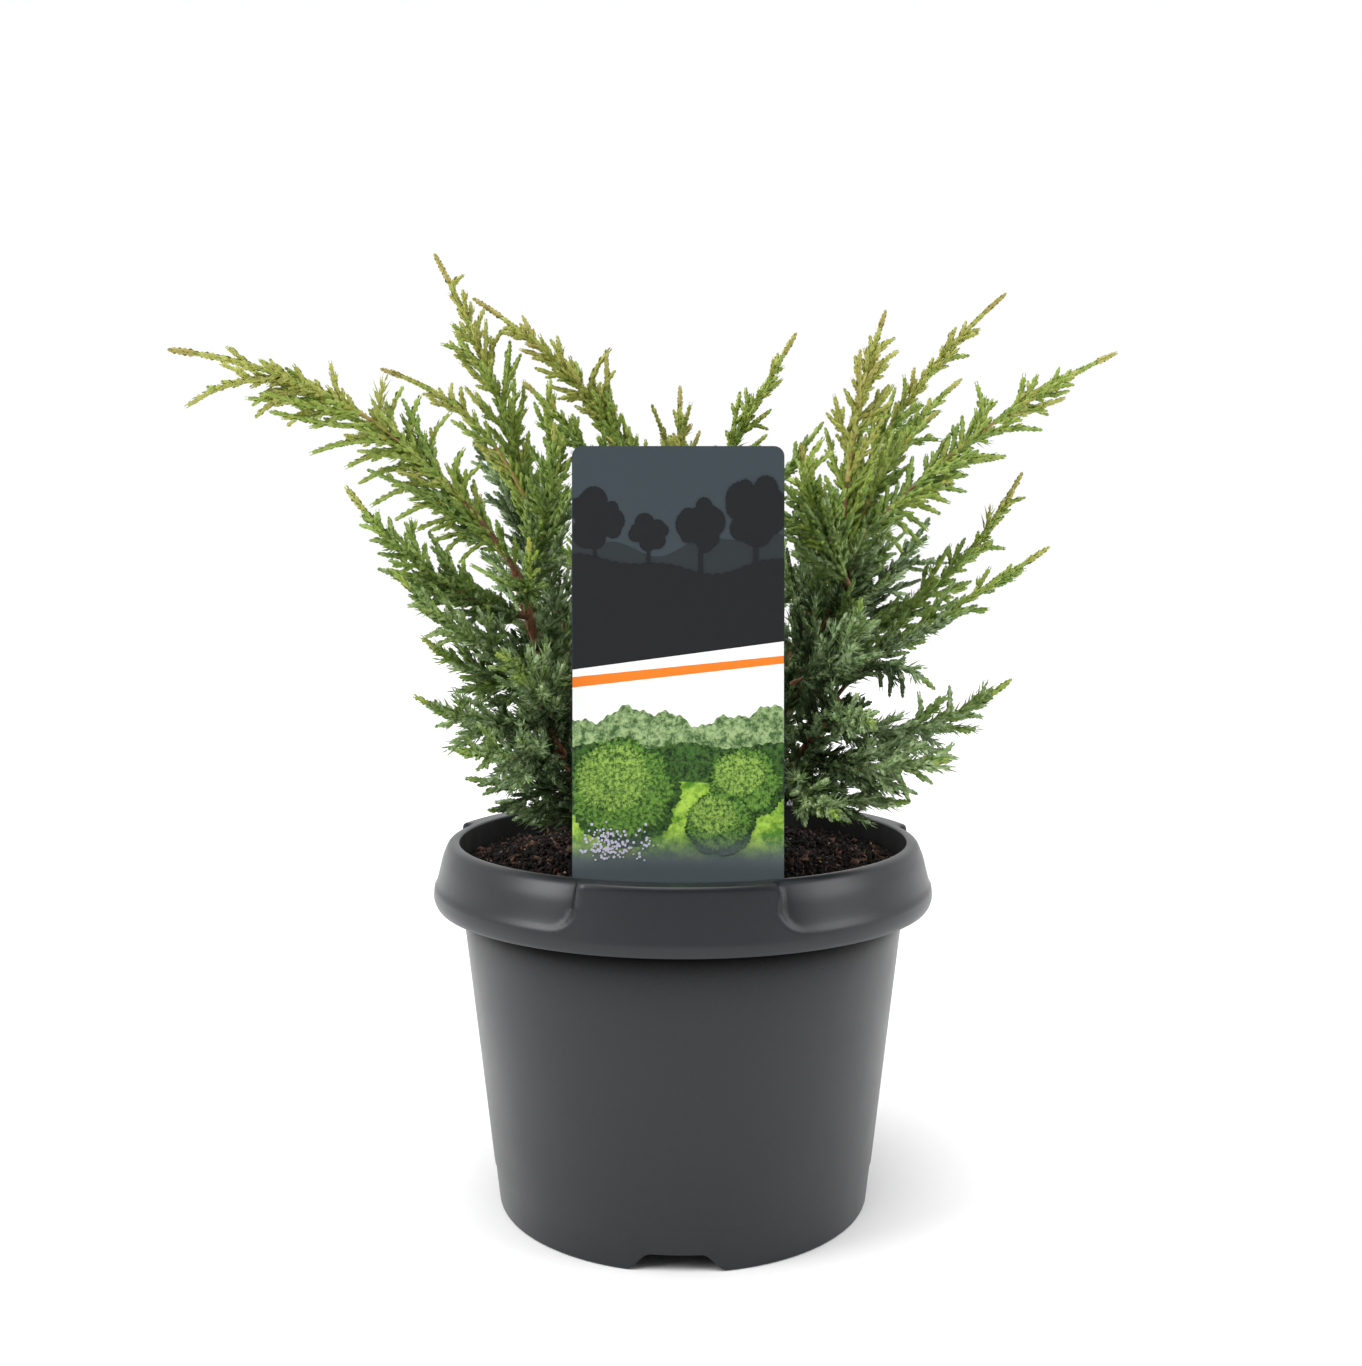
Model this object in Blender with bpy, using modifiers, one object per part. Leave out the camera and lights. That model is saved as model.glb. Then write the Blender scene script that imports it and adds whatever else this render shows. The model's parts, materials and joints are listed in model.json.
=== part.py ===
"""Blaauw Chinese juniper in its nursery pot, at its real size.

A short trunk forks just above the compost into nine boughs, and every bough carries a fan of feathery
sprays. Each spray is one closed, uneven solid, and neighbouring sprays share out the room between them.
The shrub stands in a thin plastic pot with a deep collar, and a card label on a tongue is pushed into
the compost at the front.

X runs to the right, Y to the back and Z up. The ground is Z = 0 and the pot's axis is X = Y = 0.
Sizes are in millimetres, headings in degrees from +X towards +Y.
"""
from collections import namedtuple
import math
import random

import bmesh
import bpy
from mathutils import Vector
from mathutils.bvhtree import BVHTree
import numpy as np

MM = 0.001
UP = np.array((0.0, 0.0, 1.0))
TOUCH = 0.35

# Pot: a straight cone with a deep collar round its rim
POT_HEIGHT = 138.8
FOOT_RADIUS = 71.4
WALL_SLOPE = 0.112
WALL = 1.8
FLOOR_LIFT = 8.0
COLLAR_RADIUS = 95.0
COLLAR_TOP_RADIUS = 93.0
COLLAR_LOW = 115.5
COLLAR_WEB = 122.6
COLLAR_SKIN = 1.8
LIP_WIDTH = 2.3
EDGE_ROUND = 1.0
CORNER_ROUND = 2.0
POT_STEPS = 48

# Two shallow recesses in the collar, one on each side; the pot stands turned a little about its axis
POT_FRONT = -91.3
RECESS_FROM_FRONT = 21.0
RECESS_SWEEP = 84.0
RECESS_STEPS = 16
RECESS_DEPTH = 1.7
RECESS_BEND = 133.6
RECESS_LOW = 122.8

# Three notches in the foot and a ring of drain holes in the floor
NOTCH_HEADINGS = (-92.0, 28.0, 148.0)
NOTCH_WIDTH_TOP = 20.6
NOTCH_WIDTH_LOW = 31.0
NOTCH_HEIGHT = 6.4
DRAIN_COUNT = 6
DRAIN_RADIUS = 4.5
DRAIN_RING = 50.0

# Compost: fills the pot to a little below the lip, level round the trunk
COMPOST_TOP = 131.2
COMPOST_EDGE_DROP = 1.6
COMPOST_LEVEL_RADIUS = 14.0
COMPOST_GAP = 0.3

# Label: a card that leans back, with a tapering tongue in a slot in the compost
LABEL_WIDTH = 71.4
LABEL_TOP = 281.6
LABEL_SHOULDER = 131.4
LABEL_CORNER = 3.5
LABEL_THICKNESS = 0.5
LABEL_CENTRE_X = -1.7
LABEL_Y = -70.0
LABEL_Y_HEIGHT = 136.0
LABEL_LEAN = 4.17
TONGUE_WIDTH = 25.0
TONGUE_TIP_WIDTH = 8.0
TONGUE_LOW = 80.0
TONGUE_POINT = 14.0
SLOT_GAP = 0.3

# Trunk: (x, y, height above the compost, radius), flared at its foot and leaning a little back
TRUNK = (
    (0.0, 0.0, 0.0, 9.5),
    (0.0, 0.0, 1.8, 7.8),
    (0.3, 0.2, 6.0, 6.6),
    (0.4, 0.7, 14.0, 6.0),
    (0.1, 1.3, 22.0, 5.4),
    (-0.2, 1.8, 27.0, 4.4),
)
LIMB_STEPS = 8

# Bough: heading and height where it leaves the trunk, then its end (reach from the axis, heading,
# height), its bow (above the chord if positive) and its radius at both ends
Bough = namedtuple("Bough", "leaves at_height reach heading height bow thick thin")
BOUGHS = {
    "left": Bough(190, 147, 64, 196, 240, -9, 3.2, 1.9),
    "right": Bough(-8, 148, 65, -9, 250, -8, 3.2, 1.9),
    "back_left": Bough(146, 151, 63, 156, 246, -7, 2.7, 1.6),
    "middle": Bough(90, 158, 16, 105, 252, 3, 2.6, 1.5),
    "back_right": Bough(34, 152, 70, 24, 262, -7, 2.7, 1.6),
    "front_right": Bough(-44, 141, 71, -41, 196, -8, 2.8, 1.7),
    "front_left": Bough(-134, 141, 65, -140, 187, -7, 2.7, 1.6),
    "back": Bough(88, 143, 62, 86, 218, -8, 2.7, 1.6),
    "front": Bough(-86, 151, 30, -82, 226, 4, 2.3, 1.4),
}

# Spray: its bough and the share of the bough's length where it leaves it, then its tip (reach, heading,
# height), its bow and its girth, the radius of its widest part
Spray = namedtuple("Spray", "bough share reach heading height bow girth tone")
SPRAYS = (
    Spray("left", 1.00, 181, -160, 313, 14, 20, "fresh"),
    Spray("left", 0.85, 134, -144, 266, -8, 17, "green"),
    Spray("left", 0.66, 120, -142, 239, -1, 17, "green"),
    Spray("left", 0.58, 99, -160, 216, -2, 17, "blue"),
    Spray("left", 0.92, 59, -140, 291, -4, 15, "green"),
    Spray("left", 0.95, 82, -129, 250, -8, 15, "green"),
    Spray("front_left", 1.00, 120, -136, 199, -4, 15, "blue"),
    Spray("front_left", 0.80, 125, -124, 184, 0, 14, "blue"),
    Spray("front_left", 0.55, 88, -149, 167, 0, 14, "blue"),
    Spray("front_left", 0.35, 77, -154, 154, 2, 12, "blue"),
    Spray("front_left", 0.92, 106, -124, 213, 5, 14, "blue"),
    Spray("back_left", 1.00, 106, 159, 366, 5, 14, "fresh"),
    Spray("back_left", 0.75, 117, 172, 318, 16, 7, "fresh"),
    Spray("back_left", 0.85, 117, 143, 309, 3, 13, "green"),
    Spray("back_left", 0.92, 51, 176, 311, 0, 13, "green"),
    Spray("middle", 1.00, 89, 158, 348, 10, 14, "fresh"),
    Spray("middle", 0.75, 36, 146, 325, -6, 13, "green"),
    Spray("middle", 0.85, 60, -166, 309, 4, 14, "green"),
    Spray("middle", 0.60, 66, 91, 318, 3, 13, "green"),
    Spray("middle", 0.90, 49, 27, 332, 2, 10, "green"),
    Spray("middle", 0.70, 76, 41, 301, 1, 9, "green"),
    Spray("right", 1.00, 170, 7, 325, 7, 17, "fresh"),
    Spray("right", 0.92, 75, -6, 335, 3, 15, "fresh"),
    Spray("right", 0.85, 98, 7, 301, 8, 14, "fresh"),
    Spray("right", 0.65, 131, 5, 277, -8, 14, "green"),
    Spray("right", 0.55, 134, -10, 248, -2, 15, "green"),
    Spray("right", 0.45, 111, -27, 227, 0, 16, "blue"),
    Spray("right", 0.95, 60, -47, 283, -8, 16, "fresh"),
    Spray("back_right", 1.00, 135, 17, 351, 6, 14, "fresh"),
    Spray("back_right", 0.90, 130, 27, 320, 7, 13, "green"),
    Spray("back_right", 0.60, 134, 37, 263, -8, 17, "green"),
    Spray("front_right", 1.00, 106, -38, 201, 5, 10, "blue"),
    Spray("front_right", 0.85, 122, -19, 201, -8, 16, "blue"),
    Spray("front_right", 0.70, 117, -42, 178, -3, 14, "blue"),
    Spray("front_right", 0.50, 97, -38, 161, 0, 13, "blue"),
    Spray("front_right", 0.60, 100, -60, 160, 1, 12, "blue"),
    Spray("front_right", 0.90, 121, -61, 193, 2, 14, "blue"),
    Spray("front_right", 0.96, 93, -51, 230, 5, 16, "blue"),
    Spray("back", 0.90, 107, 128, 258, 4, 18, "green"),
    Spray("back", 1.00, 107, 104, 288, 4, 18, "fresh"),
    Spray("back", 0.95, 110, 74, 292, 4, 18, "fresh"),
    Spray("back", 0.80, 115, 49, 256, 4, 18, "green"),
    Spray("back", 0.60, 97, 143, 204, 4, 17, "blue"),
    Spray("back", 0.65, 108, 35, 206, 4, 17, "blue"),
    Spray("back", 0.50, 98, 88, 196, 4, 17, "blue"),
    Spray("front", 1.00, 51, -108, 262, 4, 15, "green"),
    Spray("front", 0.80, 51, -64, 238, 4, 15, "green"),
)
SPRAY_SIDES = 7
SPRAY_RINGS = 9
SPRAY_UNEVENNESS = 0.22
SPRAY_FULLNESS = 0.6
SPRAY_LEAST_RADIUS = 0.8
SPRAY_GAP = 0.25
SEPARATE_ROUNDS = 80

# Colours (red, green, blue, roughness), as plain plastics, card, bark and foliage
FINISHES = {
    "pot_grey": (0.050, 0.052, 0.060, 0.45),
    "compost_brown": (0.035, 0.024, 0.020, 0.95),
    "label_card": (0.070, 0.088, 0.100, 0.30),
    "bark_brown": (0.130, 0.062, 0.036, 0.85),
    "foliage_fresh": (0.180, 0.240, 0.055, 0.70),
    "foliage_green": (0.085, 0.160, 0.045, 0.70),
    "foliage_blue": (0.055, 0.105, 0.060, 0.70),
}


def make_materials():
    """One Principled material for each finish."""
    materials = {}
    for name, (red, green, blue, roughness) in FINISHES.items():
        material = bpy.data.materials.new(name)
        material.use_nodes = True
        shader = material.node_tree.nodes["Principled BSDF"]
        shader.inputs["Base Color"].default_value = (red, green, blue, 1.0)
        shader.inputs["Roughness"].default_value = roughness
        material.diffuse_color = (red, green, blue, 1.0)
        materials[name] = material
    return materials


def add_object(name, data, collection, material=None):
    """Put a mesh or curve in the scene as a named object."""
    obj = bpy.data.objects.new(name, data)
    collection.objects.link(obj)
    if material is not None:
        data.materials.append(material)
    return obj


def mesh_from(bm, name):
    """Turn a bmesh in millimetres into a mesh in metres."""
    bmesh.ops.scale(bm, vec=(MM, MM, MM), verts=bm.verts)
    mesh = bpy.data.meshes.new(name)
    bm.to_mesh(mesh)
    bm.free()
    return mesh


def add_cutter(name, bm, cutters):
    """Put a cutting tool in the cutters' collection, hidden from renders."""
    bmesh.ops.recalc_face_normals(bm, faces=bm.faces)
    cutter = add_object(name, mesh_from(bm, name), cutters)
    cutter.display_type = "WIRE"
    cutter.hide_render = True
    return cutter


def cut(obj, cutter):
    """Take a cutter's shape out of an object."""
    modifier = obj.modifiers.new(cutter.name, "BOOLEAN")
    modifier.operation = "DIFFERENCE"
    modifier.solver = "EXACT"
    modifier.object = cutter


def turned(name, profile, steps, collection, material):
    """A shape turned round the Z axis from a profile of (radius, height), down its outer side."""
    bm = bmesh.new()
    points = [bm.verts.new((radius, 0.0, height)) for radius, height in profile]
    for first, second in zip(points, points[1:]):
        bm.edges.new((first, second))
    obj = add_object(name, mesh_from(bm, name), collection, material)
    screw = obj.modifiers.new("turn", "SCREW")
    screw.axis = "Z"
    screw.angle = math.tau
    screw.steps = steps
    screw.render_steps = steps
    screw.use_merge_vertices = True
    screw.merge_threshold = 0.00005
    return obj


def polar(reach, heading, height):
    """A place from its distance to the axis, its heading and its height."""
    angle = math.radians(heading)
    return np.array((reach * math.cos(angle), reach * math.sin(angle), height))


def unit(vector):
    """The vector at length one."""
    return vector / np.linalg.norm(vector)


def arch(start, end, bow, steps):
    """Points along a bowed line from start to end, bowed in the upright plane through both."""
    chord = unit(end - start)
    side = unit(UP - chord * chord[2])
    middle = (start + end) / 2 + 2 * bow * side
    share = np.linspace(0.0, 1.0, steps + 1)[:, None]
    return (1 - share) ** 2 * start + 2 * share * (1 - share) * middle + share ** 2 * end


def wall_radius(height):
    """Outside radius of the pot's wall at a height."""
    return FOOT_RADIUS + WALL_SLOPE * height


def make_pot(parts, cutters, material):
    """The pot: one turned shell, with its recesses, foot notches and drain holes cut out."""
    floor_top = FLOOR_LIFT + WALL
    inside_top = wall_radius(POT_HEIGHT) - WALL
    profile = (
        (0.0, floor_top),
        (wall_radius(floor_top) - WALL - CORNER_ROUND, floor_top),
        (wall_radius(floor_top + CORNER_ROUND) - WALL, floor_top + CORNER_ROUND),
        (inside_top, POT_HEIGHT - EDGE_ROUND),
        (inside_top + 0.7 * EDGE_ROUND, POT_HEIGHT),
        (COLLAR_TOP_RADIUS - EDGE_ROUND, POT_HEIGHT),
        (COLLAR_TOP_RADIUS, POT_HEIGHT - EDGE_ROUND),
        (COLLAR_RADIUS, COLLAR_LOW + CORNER_ROUND),
        (COLLAR_RADIUS - 0.2 * EDGE_ROUND, COLLAR_LOW + 0.5 * EDGE_ROUND),
        (COLLAR_RADIUS - 0.8 * EDGE_ROUND, COLLAR_LOW),
        (COLLAR_RADIUS - COLLAR_SKIN, COLLAR_LOW + 0.3 * EDGE_ROUND),
        (COLLAR_RADIUS - COLLAR_SKIN - 0.6 * EDGE_ROUND, COLLAR_WEB),
        (wall_radius(COLLAR_WEB), COLLAR_WEB),
        (wall_radius(EDGE_ROUND), EDGE_ROUND),
        (FOOT_RADIUS - 0.4 * EDGE_ROUND, 0.0),
        (FOOT_RADIUS - WALL - 0.2 * EDGE_ROUND, 0.0),
        (wall_radius(FLOOR_LIFT) - WALL, FLOOR_LIFT - 0.4 * EDGE_ROUND),
        (wall_radius(FLOOR_LIFT) - WALL - 0.6 * EDGE_ROUND, FLOOR_LIFT),
        (0.0, FLOOR_LIFT),
    )
    pot = turned("pot", profile, POT_STEPS, parts, material)
    cut(pot, recess_cutter("recess_right", POT_FRONT + RECESS_FROM_FRONT, cutters))
    cut(pot, recess_cutter("recess_left", POT_FRONT - RECESS_FROM_FRONT - RECESS_SWEEP, cutters))
    cut(pot, notch_cutter(cutters))
    cut(pot, drain_cutter(cutters))
    return pot


def recess_cutter(name, first_heading, cutters):
    """A sector of a ring that takes the upper outer part of the collar away, down to nothing at its foot."""
    beyond = 3.0
    lip_outside = wall_radius(POT_HEIGHT) - WALL + LIP_WIDTH
    outline = (
        (lip_outside, POT_HEIGHT + beyond),
        (lip_outside, POT_HEIGHT - 0.4),
        (lip_outside + 2.0, POT_HEIGHT - 1.2),
        (COLLAR_TOP_RADIUS - RECESS_DEPTH, RECESS_BEND),
        (COLLAR_TOP_RADIUS + 0.4, RECESS_LOW + 2.0),
        (COLLAR_RADIUS - 0.6, RECESS_LOW),
        (COLLAR_RADIUS + beyond, RECESS_LOW - 0.8),
        (COLLAR_RADIUS + beyond, POT_HEIGHT + beyond),
    )
    bm = bmesh.new()
    first = math.radians(first_heading)
    corners = [bm.verts.new((r * math.cos(first), r * math.sin(first), z)) for r, z in outline]
    face = bm.faces.new(corners)
    bmesh.ops.spin(
        bm,
        geom=[face, *face.edges, *face.verts],
        cent=(0.0, 0.0, 0.0),
        axis=(0.0, 0.0, 1.0),
        angle=math.radians(RECESS_SWEEP),
        steps=RECESS_STEPS,
    )
    return add_cutter(name, bm, cutters)


def notch_cutter(cutters):
    """Three prisms through the foot, each narrower at its top."""
    outline = (
        (-NOTCH_WIDTH_LOW / 2, -1.0),
        (NOTCH_WIDTH_LOW / 2, -1.0),
        (NOTCH_WIDTH_LOW / 2 - 2.6, 1.4),
        (NOTCH_WIDTH_TOP / 2 + 0.6, NOTCH_HEIGHT - 1.4),
        (NOTCH_WIDTH_TOP / 2, NOTCH_HEIGHT),
        (-NOTCH_WIDTH_TOP / 2, NOTCH_HEIGHT),
        (-NOTCH_WIDTH_TOP / 2 - 0.6, NOTCH_HEIGHT - 1.4),
        (-NOTCH_WIDTH_LOW / 2 + 2.6, 1.4),
    )
    inner_reach = FOOT_RADIUS - 14.0
    through = 24.0
    bm = bmesh.new()
    for heading in NOTCH_HEADINGS:
        outward = Vector(polar(1.0, heading, 0.0))
        across = Vector((-outward.y, outward.x, 0.0))
        face = bm.faces.new([bm.verts.new(outward * inner_reach + across * u + Vector((0.0, 0.0, z)))
                             for u, z in outline])
        grown = bmesh.ops.extrude_face_region(bm, geom=[face])["geom"]
        moved = [item for item in grown if isinstance(item, bmesh.types.BMVert)]
        bmesh.ops.translate(bm, vec=outward * through, verts=moved)
    return add_cutter("foot_notches", bm, cutters)


def drain_cutter(cutters):
    """Short cylinders that open the drain holes in the floor."""
    bm = bmesh.new()
    for index in range(DRAIN_COUNT):
        made = bmesh.ops.create_cone(
            bm, cap_ends=True, segments=12, radius1=DRAIN_RADIUS, radius2=DRAIN_RADIUS, depth=4 * WALL)
        place = polar(DRAIN_RING, 360.0 * index / DRAIN_COUNT, FLOOR_LIFT + WALL / 2)
        bmesh.ops.translate(bm, vec=Vector(place), verts=made["verts"])
    return add_cutter("drain_holes", bm, cutters)


def make_compost(parts, cutters, material):
    """The compost: a plug that fills the pot, with a slot for the label's tongue."""
    low = FLOOR_LIFT + WALL + COMPOST_GAP
    edge_height = COMPOST_TOP - COMPOST_EDGE_DROP

    def edge(height):
        return wall_radius(height) - WALL - COMPOST_GAP

    profile = (
        (0.0, COMPOST_TOP),
        (COMPOST_LEVEL_RADIUS, COMPOST_TOP),
        (34.0, COMPOST_TOP + 0.5),
        (58.0, COMPOST_TOP - 0.4),
        (edge(edge_height) - 5.0, edge_height + 0.4),
        (edge(edge_height), edge_height),
        (edge(low + 2.4), low + 2.4),
        (edge(low) - 2.6, low),
        (0.0, low),
    )
    compost = turned("compost", profile, POT_STEPS, parts, material)
    bm = bmesh.new()
    bmesh.ops.create_cube(bm, size=1.0)
    depth = COMPOST_TOP - TONGUE_LOW + SLOT_GAP
    size = (TONGUE_WIDTH + 2 * SLOT_GAP, LABEL_THICKNESS + 2 * SLOT_GAP, 2 * depth)
    bmesh.ops.scale(bm, vec=size, verts=bm.verts)
    slot = add_cutter("label_slot", bm, cutters)
    slot.location = label_place(COMPOST_TOP) * MM
    slot.rotation_euler.x = -math.radians(LABEL_LEAN)
    cut(compost, slot)
    return compost


def label_place(height):
    """The middle of the leaning card at a height."""
    lean = (height - LABEL_Y_HEIGHT) * math.tan(math.radians(LABEL_LEAN))
    return Vector((LABEL_CENTRE_X, LABEL_Y + lean, height))


def flat_outline(name, outline, thickness, collection, material):
    """A flat card from its outline in its own XY plane."""
    curve = bpy.data.curves.new(name, "CURVE")
    curve.dimensions = "2D"
    curve.fill_mode = "BOTH"
    curve.extrude = thickness / 2 * MM
    spline = curve.splines.new("POLY")
    spline.points.add(len(outline) - 1)
    for point, (x, y) in zip(spline.points, outline):
        point.co = (x * MM, y * MM, 0.0, 1.0)
    spline.use_cyclic_u = True
    return add_object(name, curve, collection, material)


def make_label(parts, material):
    """The label: a card with two round top corners over a tapering tongue."""
    stretch = 1 / math.cos(math.radians(LABEL_LEAN))
    top = (LABEL_TOP - LABEL_SHOULDER) * stretch
    tip = (TONGUE_LOW - LABEL_SHOULDER) * stretch
    half = LABEL_WIDTH / 2
    tongue = TONGUE_WIDTH / 2
    right = [(TONGUE_TIP_WIDTH / 2, tip), (tongue, tip + TONGUE_POINT), (tongue, 0.0), (half, 0.0)]
    for step in range(4):
        angle = math.radians(30.0 * step)
        right.append((half - LABEL_CORNER + LABEL_CORNER * math.cos(angle),
                      top - LABEL_CORNER + LABEL_CORNER * math.sin(angle)))
    left = [(-x, y) for x, y in reversed(right)]
    label = flat_outline("label", right + left, LABEL_THICKNESS, parts, material)
    label.location = label_place(LABEL_SHOULDER) * MM
    label.rotation_euler.x = math.radians(90.0 - LABEL_LEAN)
    return label


def limb(name, points, radii, sides, collection, material):
    """One tapering limb along a line of points, with flat ends."""
    curve = bpy.data.curves.new(name, "CURVE")
    curve.dimensions = "3D"
    curve.bevel_depth = MM
    curve.bevel_resolution = sides
    curve.use_fill_caps = True
    spline = curve.splines.new("POLY")
    spline.points.add(len(points) - 1)
    for point, place, radius in zip(spline.points, points, radii):
        point.co = (*(place * MM), 1.0)
        point.radius = radius
    return add_object(name, curve, collection, material)


def trunk_at(height):
    """The trunk's centre and radius at a height above the ground."""
    foot = COMPOST_TOP + COMPOST_GAP
    heights = [foot + rise for _, _, rise, _ in TRUNK]
    x = np.interp(height, heights, [point[0] for point in TRUNK])
    y = np.interp(height, heights, [point[1] for point in TRUNK])
    radius = np.interp(height, heights, [point[3] for point in TRUNK])
    return np.array((x, y, height)), radius


def make_trunk(parts, material):
    """The trunk, from its flat cut on the compost to its tip."""
    foot = COMPOST_TOP + COMPOST_GAP
    points = [np.array((x, y, foot + rise)) for x, y, rise, _ in TRUNK]
    return limb("trunk", points, [point[3] for point in TRUNK], 4, parts, material)


def bough_line(bough):
    """A bough's points and radii, starting just clear of the trunk."""
    end = polar(bough.reach, bough.heading, bough.height)
    foot = COMPOST_TOP + COMPOST_GAP
    trunk_top = foot + TRUNK[-1][2]
    centre, trunk_radius = trunk_at(min(bough.at_height, trunk_top))
    if bough.at_height >= trunk_top:
        start = centre + UP * (TOUCH + bough.thick * 0.4)
    else:
        outward = polar(1.0, bough.leaves, 0.0)
        start = centre + outward * trunk_radius
        rise = unit(arch(start, end, bough.bow, LIMB_STEPS)[1] - start)[2]
        start = start + outward * (TOUCH + bough.thick * abs(rise))
    points = arch(start, end, bough.bow, LIMB_STEPS)
    return points, np.linspace(bough.thick, bough.thin, LIMB_STEPS + 1)


def along(points, values, share):
    """The place, direction and value at a share of a line's length."""
    steps = np.linalg.norm(np.diff(points, axis=0), axis=1)
    run = np.concatenate(([0.0], np.cumsum(steps))) / steps.sum()
    place = np.array([np.interp(share, run, points[:, axis]) for axis in range(3)])
    index = min(int(np.searchsorted(run, share, side="right")) - 1, len(steps) - 1)
    return place, unit(points[index + 1] - points[index]), float(np.interp(share, run, values))


def spray_root(spray, bough_points, bough_radii):
    """Where a spray meets its bough: at the bough's end, or just off its skin on the side of the tip."""
    place, direction, radius = along(bough_points, bough_radii, spray.share)
    if spray.share == 1.0:
        return place + direction * TOUCH
    outward = polar(spray.reach, spray.heading, spray.height) - place
    outward = unit(outward - direction * (outward @ direction))
    return place + outward * (radius + TOUCH)


class SprayShape:
    """One spray's solid: rings of points round a bowed line, closed by a point at each end."""

    def __init__(self, spray, root, rng):
        tip = polar(spray.reach, spray.heading, spray.height)
        self.line = arch(root, tip, spray.bow, SPRAY_RINGS)
        self.across = unit(np.cross(tip - root, UP))
        tangents = np.gradient(self.line, axis=0)
        tangents /= np.linalg.norm(tangents, axis=1)[:, None]
        self.above = np.cross(self.across, tangents)
        share = np.linspace(0.0, 1.0, SPRAY_RINGS + 1)
        self.swell = spray.girth * np.sin(math.pi * share ** SPRAY_FULLNESS).clip(0.0)
        uneven = [[1 + SPRAY_UNEVENNESS * rng.uniform(-1.0, 1.0) for _ in range(SPRAY_SIDES)]
                  for _ in range(SPRAY_RINGS + 1)]
        self.radii = self.swell[:, None] * np.array(uneven)
        angles = np.arange(SPRAY_SIDES) * math.tau / SPRAY_SIDES
        self.spokes = (np.cos(angles)[None, :, None] * self.above[:, None, :]
                       + np.sin(angles)[None, :, None] * self.across[None, None, :])

    def points(self, spare=0.0):
        """Every ring's points, pushed out by the spare clearance where the ring has any width."""
        reach = self.radii + spare * (self.radii > 0.0)
        return self.line[:, None, :] + self.spokes * reach[:, :, None]

    def corners(self, cage, spare=0.0):
        """The cage's corners on this spray."""
        points = self.points(spare)
        return [points[ring, side] for ring, side in cage.places]


class Cage:
    """A triangulated sphere: which ring and side each corner stands for, and its faces."""

    def __init__(self):
        bm = bmesh.new()
        bmesh.ops.create_uvsphere(bm, u_segments=SPRAY_SIDES, v_segments=SPRAY_RINGS, radius=1.0)
        bmesh.ops.triangulate(bm, faces=bm.faces)
        self.places = []
        for vert in bm.verts:
            ring = round(math.acos(max(-1.0, min(1.0, -vert.co.z))) / math.pi * SPRAY_RINGS)
            side = round(math.atan2(vert.co.y, vert.co.x) / math.tau * SPRAY_SIDES) % SPRAY_SIDES
            self.places.append((ring, side))
        self.faces = [tuple(vert.index for vert in face.verts) for face in bm.faces]
        self.bm = bm


def share_out_room(shapes, limbs):
    """Pull every point in until it lies nearer to its own spray's line, by girth, than to any other."""
    samples = np.concatenate([shape.line[1:-1] for shape in shapes])
    widths = np.concatenate([shape.swell[1:-1] for shape in shapes]) + 1.0
    owner = np.repeat(np.arange(len(shapes)), SPRAY_RINGS - 1)
    limb_points = np.concatenate([points for points, _ in limbs])
    limb_radii = np.concatenate([radii for _, radii in limbs]) + 1.0
    for index, shape in enumerate(shapes):
        others = owner != index
        for ring in range(1, SPRAY_RINGS):
            for side in range(SPRAY_SIDES):
                reach = shape.radii[ring, side]
                for share in np.linspace(1.0, 0.1, 19):
                    place = shape.line[ring] + shape.spokes[ring, side] * reach * share
                    own = reach * share / (shape.swell[ring] + 1.0)
                    nearest = (np.linalg.norm(samples[others] - place, axis=1) / widths[others]).min()
                    clear = (np.linalg.norm(limb_points - place, axis=1) - limb_radii).min()
                    if own <= nearest and clear >= 0.0:
                        break
                shape.radii[ring, side] = max(reach * share, SPRAY_LEAST_RADIUS)


def surface_tree(obj):
    """An object's evaluated surface, in millimetres, for overlap tests."""
    graph = bpy.context.evaluated_depsgraph_get()
    mesh = bpy.data.meshes.new_from_object(obj.evaluated_get(graph))
    corners = [obj.matrix_world @ vert.co / MM for vert in mesh.vertices]
    tree = BVHTree.FromPolygons(corners, [tuple(face.vertices) for face in mesh.polygons])
    bpy.data.meshes.remove(mesh)
    return tree


def pull_in(shape, cage, faces):
    """Move the corners of some faces towards the spray's line."""
    for corner in {corner for face in faces for corner in cage.faces[face]}:
        ring, side = cage.places[corner]
        if 0 < ring < SPRAY_RINGS:
            shape.radii[ring, side] = max(shape.radii[ring, side] * 0.88, SPRAY_LEAST_RADIUS)


def separate(shapes, cage, fixed):
    """Pull the sprays in wherever two of them, or a spray and a fixed piece, still meet."""
    for _ in range(SEPARATE_ROUNDS):
        trees = [BVHTree.FromPolygons(shape.corners(cage, SPRAY_GAP), cage.faces) for shape in shapes]
        met = False
        for index, tree in enumerate(trees):
            for other in range(index + 1, len(trees)):
                pairs = tree.overlap(trees[other])
                if pairs:
                    met = True
                    pull_in(shapes[index], cage, {pair[0] for pair in pairs})
                    pull_in(shapes[other], cage, {pair[1] for pair in pairs})
            for piece in fixed:
                pairs = tree.overlap(piece)
                if pairs:
                    met = True
                    pull_in(shapes[index], cage, {pair[0] for pair in pairs})
        if not met:
            return


def make_sprays(parts, lines, fixed, materials):
    """Every spray of foliage, as separate solids that keep clear of each other and of the limbs."""
    rng = random.Random(1893)
    cage = Cage()
    shapes = [SprayShape(spray, spray_root(spray, *lines[spray.bough]), rng) for spray in SPRAYS]
    share_out_room(shapes, list(lines.values()))
    separate(shapes, cage, fixed)
    counts = {}
    for spray, shape in zip(SPRAYS, shapes):
        counts[spray.bough] = counts.get(spray.bough, 0) + 1
        bm = cage.bm.copy()
        for vert, place in zip(bm.verts, shape.corners(cage)):
            vert.co = Vector(place)
        name = f"foliage_{spray.bough}_{counts[spray.bough]}"
        add_object(name, mesh_from(bm, name), parts, materials[f"foliage_{spray.tone}"])
    cage.bm.free()


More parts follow.
